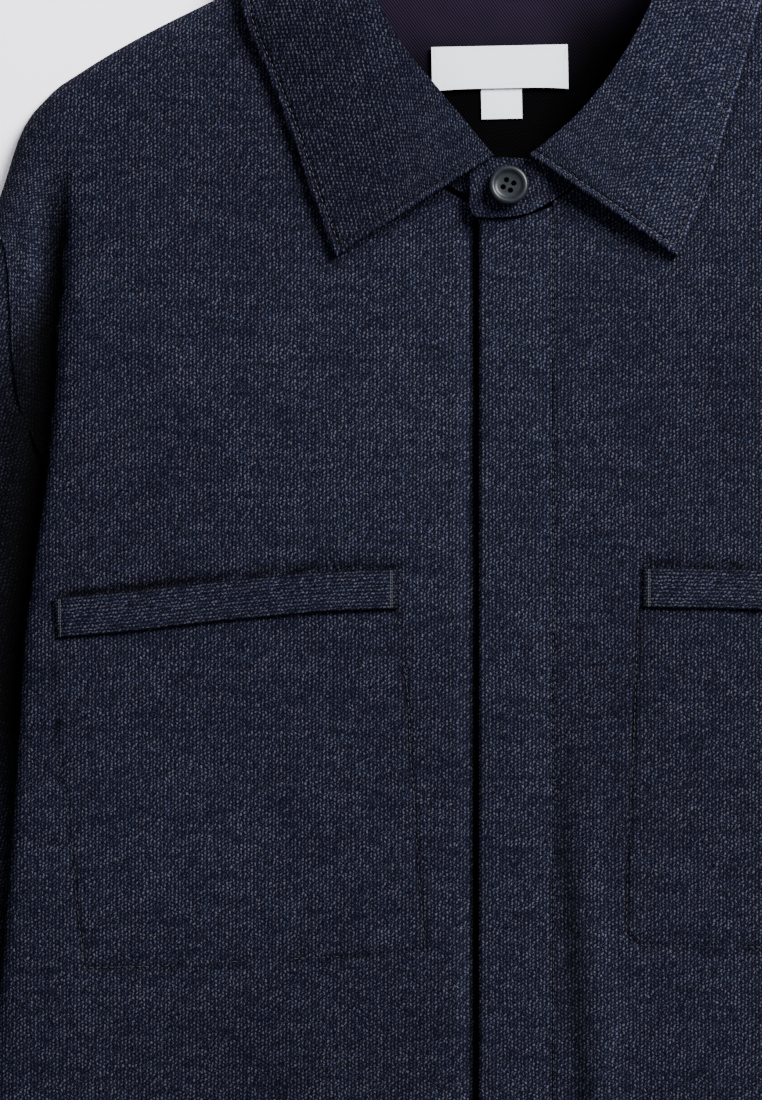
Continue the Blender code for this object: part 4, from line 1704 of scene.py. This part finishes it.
@dataclass
class Neck:
    """Lining and labels.

    Attributes:
        hang: How far the main label's edges curl.
    """

    hang: float = 0.35

    def lining_top(self, side: Array, down: Array) -> Array:
        """Upper face of the lining.

        Args:
            side: Places across.
            down: Places down.

        Returns:
            Heights.
        """
        return FORM.back_height(side, down) + CLOTH + SEAM + 0.15 + LINING_THICK

    def lining(self, wardrobe: Wardrobe) -> Piece:
        """Make the lining.

        Args:
            wardrobe: The finishes.

        Returns:
            The piece.
        """
        neck = rows(BACK_NECK)
        side = np.linspace(-76.0, 76.0, 61)
        top = graph(neck[:, 0], neck[:, 1], np.abs(side)) + 1.2
        bottom = 118.0 - 26.0 * (np.abs(side) / 76.0) ** 3
        down = top[None] + np.linspace(0, 1, 61)[:, None] * (bottom - top)[None]
        side = np.broadcast_to(side[None], down.shape)
        upper = FORM.world(side, down, self.lining_top(side, down))
        # Painted shade: the lining darkens deep into the neck and towards the wearer's left, where the collar
        # keeps the light off
        neck_shadow = 1.0 - 0.97 * ease(-6, 44, down)
        neck_shadow = neck_shadow * (1 - 0.9 * ease(10, 40, side) * ease(-20, 24, down))
        grain, neck_shadow = np.stack([side, down], axis=-1), np.clip(neck_shadow, 0.02, 1)
        shell = Shell("neck_lining_cloth", upper, grain, LINING_THICK, neck_shadow, flip=True)
        made = shell.build(wardrobe.lining)
        return Piece(made, "neck_lining", Slot.LINING, (0.152, 0.155), 0.0215, ("back_panel_cloth",))

    def label(self, name: str, place: tuple[float, float, float, float], lift: float,
              wardrobe: Wardrobe) -> Piece:
        """Make a bare label.

        Args:
            name: CAD node.
            place: Side, down, width and height.
            lift: Height over the lining.
            wardrobe: The finishes.

        Returns:
            The piece.
        """
        side, down, width, height = place
        wide = width > 40
        across = finer([-width / 2, -width / 2 + 1.0, width / 2 - 1.0, width / 2], 1.0)[None]
        fall = finer([-height / 2, -height / 2 + 1.0, height / 2 - 1.0, height / 2], 1.0)[:, None]
        x = side + across * math.cos(LABEL_TURN) + fall * math.sin(LABEL_TURN)
        y = down - across * math.sin(LABEL_TURN) + fall * math.cos(LABEL_TURN)
        sag = 0.9 * (across / width * 2) ** 4 * ease(0, height / 2, fall) * wide
        y = y + sag
        z = self.lining_top(x, y) + lift + LABEL_THICK
        z = z + self.hang * (fall / height) * np.cos(across / width * np.pi) * wide
        near = np.minimum(width / 2 - np.abs(across), height / 2 - np.abs(fall))
        shade = 1.0 - 0.10 * bell(near - 1.6, 0.4)
        grain = np.stack(np.broadcast_arrays(x, y), axis=-1)
        shell = Shell(name + "_tape", FORM.world(x, y, z), grain, LABEL_THICK, shade, flip=True)
        made = shell.build(wardrobe.label)
        return Piece(made, name, Slot.LABEL, (width * MM, height * MM), None, ("neck_lining_cloth",))


@dataclass
class Welt:
    """A pocket welt with its sewn ends.

    Attributes:
        name: CAD node.
        edge: Its upper edge.
        height: Face of the front under it.
    """

    name: str
    edge: Sequence
    height: Height

    def build(self, wardrobe: Wardrobe) -> Piece:
        """Make the welt.

        Args:
            wardrobe: The finishes.

        Returns:
            The piece.
        """
        line = along(rows(self.edge), finer([0.0, 0.006, 0.014, 0.03, 0.97, 0.986, 0.994, 1.0], 0.012))
        run = np.gradient(line, axis=0)
        run /= np.linalg.norm(run, axis=1)[:, None]
        fall = np.stack([-run[:, 1], run[:, 0]], axis=1) * WELT_HEIGHT
        share = finer([0.0, 0.02, 0.06, 0.12, 0.88, 0.95, 0.985, 1.0], 0.05)[:, None, None]
        plan = line[None] + share * fall[None]
        z = self.height(plan[..., 0], plan[..., 1]) + 1.75
        from_top = share[..., 0] * WELT_HEIGHT
        distance = run_length(line)
        from_end = np.minimum(distance, distance[-1] - distance)[None]
        z = z - 0.7 * (1 - bulge(from_top, 1.6)) - 0.5 * (1 - bulge(WELT_HEIGHT - from_top, 1.2))
        z = z - 0.55 * bell(from_end - 2.6, 0.8) - 0.5 * (1 - bulge(from_end, 1.0))
        grain = np.stack(np.broadcast_arrays(from_top * 1.0, distance[None]), axis=-1)
        rim = np.minimum(np.minimum(from_top, WELT_HEIGHT - from_top), from_end)
        # Painted shade: the welt darker towards its lower edge, all round its rim and in the grooves of its
        # end bars
        shade = (1.0 - 0.10 * ease(14.5, WELT_HEIGHT, from_top)) * (1 - 0.8 * bell(rim, 0.9))
        shade = shade * (1 - 0.35 * bell(from_end - 3.0, 0.8))
        upper = FORM.world(plan[..., 0], plan[..., 1], z)
        shell = Shell(self.name + "_cloth", upper, grain, 1.25, shade, flip=True)
        resting = ("front_right_cloth",) if "right" in self.name else ("front_left_cloth",)
        length = 0.157 if "right" in self.name else 0.147
        return Piece(shell.build(wardrobe.knit), self.name, Slot.KNIT, (length, 0.0185), None, resting)


@dataclass
class Button:
    """The sewn-through button on the stand.

    Attributes:
        radius: Its radius.
        height: Its height.
        hole: Radius of a hole.
        pitch: Distance of a hole from the middle.
        place: Side, down and height of its seat.
        tilt: Turn round the side axis.
    """

    radius: float = 9.0
    height: float = 3.2
    hole: float = 1.25
    pitch: float = 2.55
    place: tuple[float, float, float] = (-0.9, 85.0, 20.1)
    tilt: float = math.radians(-6.0)

    def face(self, radius: Array) -> Array:
        """Height of the button's upper face.

        Args:
            radius: Distances from its middle.

        Returns:
            Heights.
        """
        table_r = np.array([0.0, 3.0, 5.4, 6.2, 7.0, 7.6, 8.3, 8.75, 9.0])
        table_z = np.array([0.55, 0.56, 0.63, 0.78, 0.97, 1.0, 0.93, 0.78, 0.60]) * self.height
        return graph(table_r, table_z, radius)

    def build(self, wardrobe: Wardrobe) -> Piece:
        """Make the button with its holes.

        Args:
            wardrobe: The finishes.

        Returns:
            The piece.
        """
        count = 96
        profile = [(float(r), float(self.face(np.array(r)))) for r in np.linspace(0.0, self.radius, 28)[1:]]
        profile += [(8.9, 1.4), (8.6, 0.8), (7.6, 0.25), (6.5, 0.0)]
        points = [(0.0, 0.0, float(self.face(np.array(0.0))))]
        angles = [2 * math.pi * k / count for k in range(count)]
        for r, z in profile:
            points += [(r * math.cos(angle), r * math.sin(angle), z) for angle in angles]
        points.append((0.0, 0.0, 0.0))
        steps = [(k, (k + 1) % count) for k in range(count)]
        faces = [(0, 1 + k, 1 + after) for k, after in steps]
        for ring in range(len(profile) - 1):
            a = 1 + ring * count
            b = a + count
            faces += [(a + k, b + k, b + after, a + after) for k, after in steps]
        a = 1 + (len(profile) - 1) * count
        faces += [(a + k, len(points) - 1, a + after) for k, after in steps]
        mesh = bpy.data.meshes.new("collar_button_resin")
        mesh.from_pydata([tuple(v * MM for v in p) for p in points], [], faces)
        disc = linked("collar_button_resin", mesh)
        for index in range(4):
            self.drill(disc, index)
        depsgraph = bpy.context.evaluated_depsgraph_get()
        cut = bpy.data.meshes.new_from_object(disc.evaluated_get(depsgraph))
        cutters = [m.object for m in disc.modifiers]
        disc.modifiers.clear()
        for cutter in cutters:
            bpy.data.objects.remove(cutter)
        disc.data = cut
        coords = np.zeros(len(cut.vertices) * 3)
        cut.vertices.foreach_get("co", coords)
        coords = coords.reshape(-1, 3)
        flat = coords[:, :2] / MM
        c, s = math.cos(self.tilt), math.sin(self.tilt)
        x, y, z = coords.T
        tilted = np.stack([x, y * c - z * s, y * s + z * c], axis=1)
        seat = FORM.world(np.array(self.place[0]), np.array(self.place[1]), np.array(self.place[2]))
        cut.vertices.foreach_set("co", (tilted + seat).ravel())
        loops = np.zeros(len(cut.loops), dtype=np.int32)
        cut.loops.foreach_get("vertex_index", loops)
        layer = cut.uv_layers.new(name="grain")
        layer.data.foreach_set("uv", flat[loops].ravel())
        cut.materials.clear()
        cut.materials.append(wardrobe.button)
        cut.shade_smooth()
        cut.set_sharp_from_angle(angle=BUTTON_BEND)
        cut.update()
        return Piece(disc, "collar_button", Slot.BUTTON)

    def drill(self, disc: bpy.types.Object, index: int) -> None:
        """Cut one hole.

        Args:
            disc: The button.
            index: Which hole.
        """
        angle = math.radians(20.0 + 90.0 * index)
        place = (math.cos(angle) * self.pitch * MM, math.sin(angle) * self.pitch * MM, self.height * MM / 2)
        radius, depth = self.hole * MM, self.height * MM * 3
        bpy.ops.mesh.primitive_cylinder_add(vertices=32, radius=radius, depth=depth, location=place)
        cutter = bpy.context.active_object
        cut = disc.modifiers.new(f"hole {index + 1}", "BOOLEAN")
        cut.operation = "DIFFERENCE"
        cut.solver = "EXACT"
        cut.object = cutter


@dataclass
class Studio:
    """Surface, light and camera.

    Attributes:
        aim: Side and down that the picture is centred on.
        height: Camera's height over the surface, in metres.
        lens: Focal length.
    """

    aim: tuple[float, float] = (-58.6, 250.0)
    height: float = 1.515
    lens: float = 108.0

    def floor(self) -> None:
        """Lay the pale surface."""
        bpy.ops.mesh.primitive_plane_add(size=8.0, location=(0.0, 0.0, -0.0006))
        plane = bpy.context.active_object
        plane.name = "surface"
        paint = bpy.data.materials.new("surface paint")
        paint.use_nodes = True
        shader = paint.node_tree.nodes["Principled BSDF"]
        shader.inputs["Base Color"].default_value = (0.955, 0.928, 1.0, 1.0)
        shader.inputs["Roughness"].default_value = 0.9
        plane.data.materials.append(paint)
        plane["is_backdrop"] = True

    def lamp(self, name: str, place: tuple[float, float, float], size: float, power: float,
             tint: tuple[float, float, float]) -> None:
        """Hang an area lamp that looks at the garment.

        Args:
            name: Its name.
            place: Where it hangs, in metres.
            size: Its side, in metres.
            power: Its power, in watts.
            tint: Its colour.
        """
        data = bpy.data.lights.new(name, "AREA")
        data.size = size
        data.energy = power
        data.color = tint
        made = linked(name, data)
        made.location = place
        look = Vector([float(t) - p for t, p in zip(self.target(), place)])
        made.rotation_euler = look.to_track_quat("-Z", "Y").to_euler()

    def target(self) -> Array:
        """Point that the picture is centred on.

        Returns:
            The point, in metres.
        """
        return FORM.world(np.array(self.aim[0]), np.array(self.aim[1]), np.array(0.0))

    def build(self) -> None:
        """Set up the studio."""
        self.floor()
        world = bpy.data.worlds.new("studio")
        world.use_nodes = True
        sky = world.node_tree.nodes["Background"]
        sky.inputs["Color"].default_value = (0.90, 0.94, 1.0, 1.0)
        sky.inputs["Strength"].default_value = 0.47
        bpy.context.scene.world = world
        self.lamp("key", (1.35, 1.45, 1.20), 1.0, 262.0, (1.0, 0.985, 0.985))
        self.lamp("fill", (-1.2, 0.3, 2.0), 1.6, 13.0, (0.93, 0.96, 1.0))
        data = bpy.data.cameras.new("camera")
        data.lens = self.lens
        data.sensor_fit = "VERTICAL"
        data.sensor_height = 36.0
        data.sensor_width = 36.0
        camera = linked("camera", data)
        place = self.target()
        camera.location = (float(place[0]), float(place[1]), self.height)
        bpy.context.scene.camera = camera


@dataclass
class Stitching:
    """Rows of lock stitches laid by Geometry Nodes.

    Attributes:
        name: Name of the piece.
        pitch: Distance of the stitches, in metres.
        length: Length of one stitch.
        width: Width of the thread.
        seed: Seed of the uneven lengths.
    """

    name: str
    pitch: float = 0.0031
    length: float = 0.0024
    width: float = 0.00042
    seed: int = 7

    def tree(self) -> bpy.types.NodeTree:
        """Make the node tree.

        Returns:
            The tree.
        """
        made = bpy.data.node_groups.new(self.name + " stitches", "GeometryNodeTree")
        face = made.interface
        face.new_socket("Geometry", in_out="INPUT", socket_type="NodeSocketGeometry")
        kinds = {"Pitch": "Float", "Length": "Float", "Width": "Float", "Seed": "Int", "Material": "Material"}
        for label, kind in kinds.items():
            face.new_socket(label, in_out="INPUT", socket_type="NodeSocket" + kind)
        face.new_socket("Geometry", in_out="OUTPUT", socket_type="NodeSocketGeometry")
        nodes, links = made.nodes, made.links
        source, sink = nodes.new("NodeGroupInput"), nodes.new("NodeGroupOutput")
        resample = nodes.new("GeometryNodeResampleCurve")
        resample.mode = "LENGTH"
        sphere = nodes.new("GeometryNodeMeshUVSphere")
        sphere.inputs["Segments"].default_value = 6
        sphere.inputs["Rings"].default_value = 4
        sphere.inputs["Radius"].default_value = 0.5
        tangent = nodes.new("GeometryNodeInputTangent")
        align = nodes.new("FunctionNodeAlignRotationToVector")
        align.axis = "Z"
        vary = nodes.new("FunctionNodeRandomValue")
        vary.data_type = "FLOAT"
        vary.inputs[2].default_value = 0.85
        vary.inputs[3].default_value = 1.1
        grow = nodes.new("ShaderNodeMath")
        grow.operation = "MULTIPLY"
        size = nodes.new("ShaderNodeCombineXYZ")
        smooth = nodes.new("GeometryNodeSetShadeSmooth")
        instance = nodes.new("GeometryNodeInstanceOnPoints")
        realize = nodes.new("GeometryNodeRealizeInstances")
        paint = nodes.new("GeometryNodeSetMaterial")
        for start, end in (
            (source.outputs["Geometry"], resample.inputs["Curve"]),
            (source.outputs["Pitch"], resample.inputs["Length"]),
            (tangent.outputs[0], align.inputs["Vector"]), (source.outputs["Seed"], vary.inputs["Seed"]),
            (source.outputs["Length"], grow.inputs[0]), (vary.outputs[1], grow.inputs[1]),
            (source.outputs["Width"], size.inputs[0]), (source.outputs["Width"], size.inputs[1]),
            (grow.outputs[0], size.inputs[2]), (resample.outputs["Curve"], instance.inputs["Points"]),
            (sphere.outputs["Mesh"], smooth.inputs[0]), (smooth.outputs[0], instance.inputs["Instance"]),
            (align.outputs[0], instance.inputs["Rotation"]), (size.outputs[0], instance.inputs["Scale"]),
            (instance.outputs[0], realize.inputs[0]), (realize.outputs[0], paint.inputs["Geometry"]),
            (source.outputs["Material"], paint.inputs["Material"]), (paint.outputs[0], sink.inputs[0]),
        ):
            links.new(start, end)
        return made

    def build(self, paths: Sequence[Array], material: bpy.types.Material) -> Piece:
        """Lay the stitches along paths.

        Args:
            paths: Points of each row, in metres.
            material: Finish of the thread.

        Returns:
            The piece.
        """
        curve = bpy.data.curves.new(self.name + " path", "CURVE")
        curve.dimensions = "3D"
        for path in paths:
            spline = curve.splines.new("POLY")
            spline.points.add(len(path) - 1)
            spline.points.foreach_set("co", np.column_stack((path, np.ones(len(path)))).ravel())
        guide = linked(self.name + " path", curve)
        modifier = guide.modifiers.new("stitches", "NODES")
        group = self.tree()
        modifier.node_group = group
        values = {"Pitch": self.pitch, "Length": self.length, "Width": self.width, "Seed": self.seed,
                  "Material": material}
        for item in group.interface.items_tree:
            if item.in_out == "INPUT" and item.name in values:
                modifier[item.identifier] = values[item.name]
        mesh = bpy.data.meshes.new_from_object(guide.evaluated_get(bpy.context.evaluated_depsgraph_get()))
        mesh.name = self.name
        bpy.data.objects.remove(guide)
        return Piece(linked(self.name, mesh), None, Slot.KNIT)


@dataclass
class Sewing:
    """All rows of stitches.

    Attributes:
        rise: Height of the thread's middle over the cloth, in millimetres.
    """

    rise: float = 0.02

    def on_front(self, height: Height, points: Sequence, sink: float = 0.3) -> Array:
        """Lay a path on a front.

        Args:
            height: Upper face of the front.
            points: Side and down of the path's points.
            sink: Depth of the groove that the thread lies in.

        Returns:
            Points in metres.
        """
        line = along(np.array(points), np.linspace(0, 1, 80))
        return FORM.world(line[:, 0], line[:, 1], height(line[:, 0], line[:, 1]) - sink + self.rise)

    def collar(self) -> list[Array]:
        """Path round the leaf, inside its edge.

        Returns:
            One path.
        """
        count = 120
        share = np.linspace(0.0, 1.0, count)
        grid = Collar().leaf_grid(share)
        width = np.linalg.norm(grid[:, -1] - grid[:, 0], axis=1)
        run = run_length(grid[:, count // 2])
        first, last = np.searchsorted(run, [EDGE_STITCH, run[-1] - EDGE_STITCH])
        edge = []
        for k in range(first, last):
            at = 1 - EDGE_STITCH / width[k]
            edge.append([graph(share, grid[k, :, axis], at) for axis in range(3)])
        inside = slice(6, int(count * (1 - EDGE_STITCH / width[first])))
        path = np.concatenate((grid[first, inside], np.array(edge), grid[last, inside][::-1]))
        path[:, 2] -= 0.30
        return [FORM.world(path[:, 0], path[:, 1], path[:, 2])]

    def build(self, wardrobe: Wardrobe) -> Iterable[Piece]:
        """Lay every row.

        Args:
            wardrobe: The finishes.

        Yields:
            Each piece of sewing.
        """
        right, left = FORM.right_front_height, FORM.left_front_height
        bags = [self.on_front(right, points, 0.55) for _, _, points in POCKET_RIGHT[1:]]
        bags += [self.on_front(left, points, 0.55) for _, _, points in POCKET_LEFT[1:]]
        yield Stitching("pocket_bag_stitches").build(bags, wardrobe.thread)
        yield Stitching("collar_edge_stitches").build(self.collar(), wardrobe.thread)
        level = HEM - HEM_STITCH
        edge = float(FORM.body_edge(np.array(level))) - 6.0
        hems = [self.on_front(right, [(-edge, level), (-120.0, level), (-17.0, level)], -0.12),
                self.on_front(left, [(21.0, level), (120.0, level), (edge, level)], -0.12)]
        hems.append(self.on_front(left, FLY_LINE[0][2], 0.25))
        yield Stitching("hem_and_fly_stitches").build(hems, wardrobe.thread)
        bars = []
        for table, height in ((WELT_RIGHT, right), (WELT_LEFT, left)):
            points = rows(table)
            for end, inset in ((0, 2.6), (-1, -2.6)):
                x, y = points[end] + [inset, 0.0]
                for shift in (-0.35, 0.35):
                    down = np.linspace(y + 1.4, y + WELT_HEIGHT - 1.2, 20)
                    side = np.full(20, x + shift)
                    bars.append(FORM.world(side, down, height(side, down) + 1.45))
        yield Stitching("welt_end_bars", 0.0013, 0.0016, 0.0005).build(bars, wardrobe.bar)
        tacks = []
        side, down, width, height_mm = MAIN_LABEL
        top = Neck().lining_top(np.array(side), np.array(down)) + 2 * SEAM + 2 * LABEL_THICK
        for end in (-1, 1):
            y = np.linspace(down - height_mm / 2 + 1.2, down - height_mm / 2 + 5.0, 6)
            tacks.append(FORM.world(np.full(6, side + end * (width / 2 - 1.2)), y, np.full(6, float(top))))
        yield Stitching("label_tacks", 0.0009, 0.0010, 0.00035).build(tacks, wardrobe.pale)


def build_pieces(wardrobe: Wardrobe) -> Iterable[Piece]:
    """Build the garment's pieces in order.

    Args:
        wardrobe: The finishes.

    Yields:
        Each piece.
    """
    yield Back().build(wardrobe)
    yield Sleeve("sleeve_right", -1).build(wardrobe)
    yield Sleeve("sleeve_left", 1).build(wardrobe)
    yield Front("front_right", -1, -UNDERLAP, FORM.right_front_height, Grooves(POCKET_RIGHT),
                [(37.0, 50.5), (192.0, 210.0)], [(256.0, 328.0), (438.0, 479.0)]).build(wardrobe)
    yield Front("front_left", 1, PLACKET_SEAM, FORM.left_front_height, Grooves(POCKET_LEFT + FLY_LINE),
                [(PLACKET_SEAM, 22.0), (51.0, 60.5), (196.0, 210.0)],
                [(256.0, 328.0), (431.0, 475.0)]).build(wardrobe)
    yield Placket().build(wardrobe)
    collar = Collar()
    yield collar.stand(wardrobe)
    yield collar.leaf(wardrobe)
    neck = Neck()
    yield neck.lining(wardrobe)
    yield neck.label("size_label", SIZE_LABEL, SEAM, wardrobe)
    yield neck.label("main_label", MAIN_LABEL, 2 * SEAM + LABEL_THICK, wardrobe)
    yield Welt("welt_right", WELT_RIGHT, FORM.right_front_height).build(wardrobe)
    yield Welt("welt_left", WELT_LEFT, FORM.left_front_height).build(wardrobe)
    yield Button().build(wardrobe)
    yield from Sewing().build(wardrobe)


def corners(bounds: Sequence) -> list[list[float]]:
    """Turn a box into plain lists.

    Args:
        bounds: Its two corners.

    Returns:
        The corners as lists of numbers.
    """
    return [[float(value) for value in corner] for corner in bounds]


def main() -> None:
    """Dress the model and set up the picture."""
    logging.basicConfig(level=logging.INFO)
    wardrobe = Wardrobe()
    for piece in build_pieces(wardrobe):
        piece.declare()
        LOG.info("%s: %d faces", piece.made.name, len(piece.made.data.polygons))
    Studio().build()
    size = {"cad": corners(CAD_BOX), "visual": corners(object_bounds())}


if __name__ == "__main__":
    main()
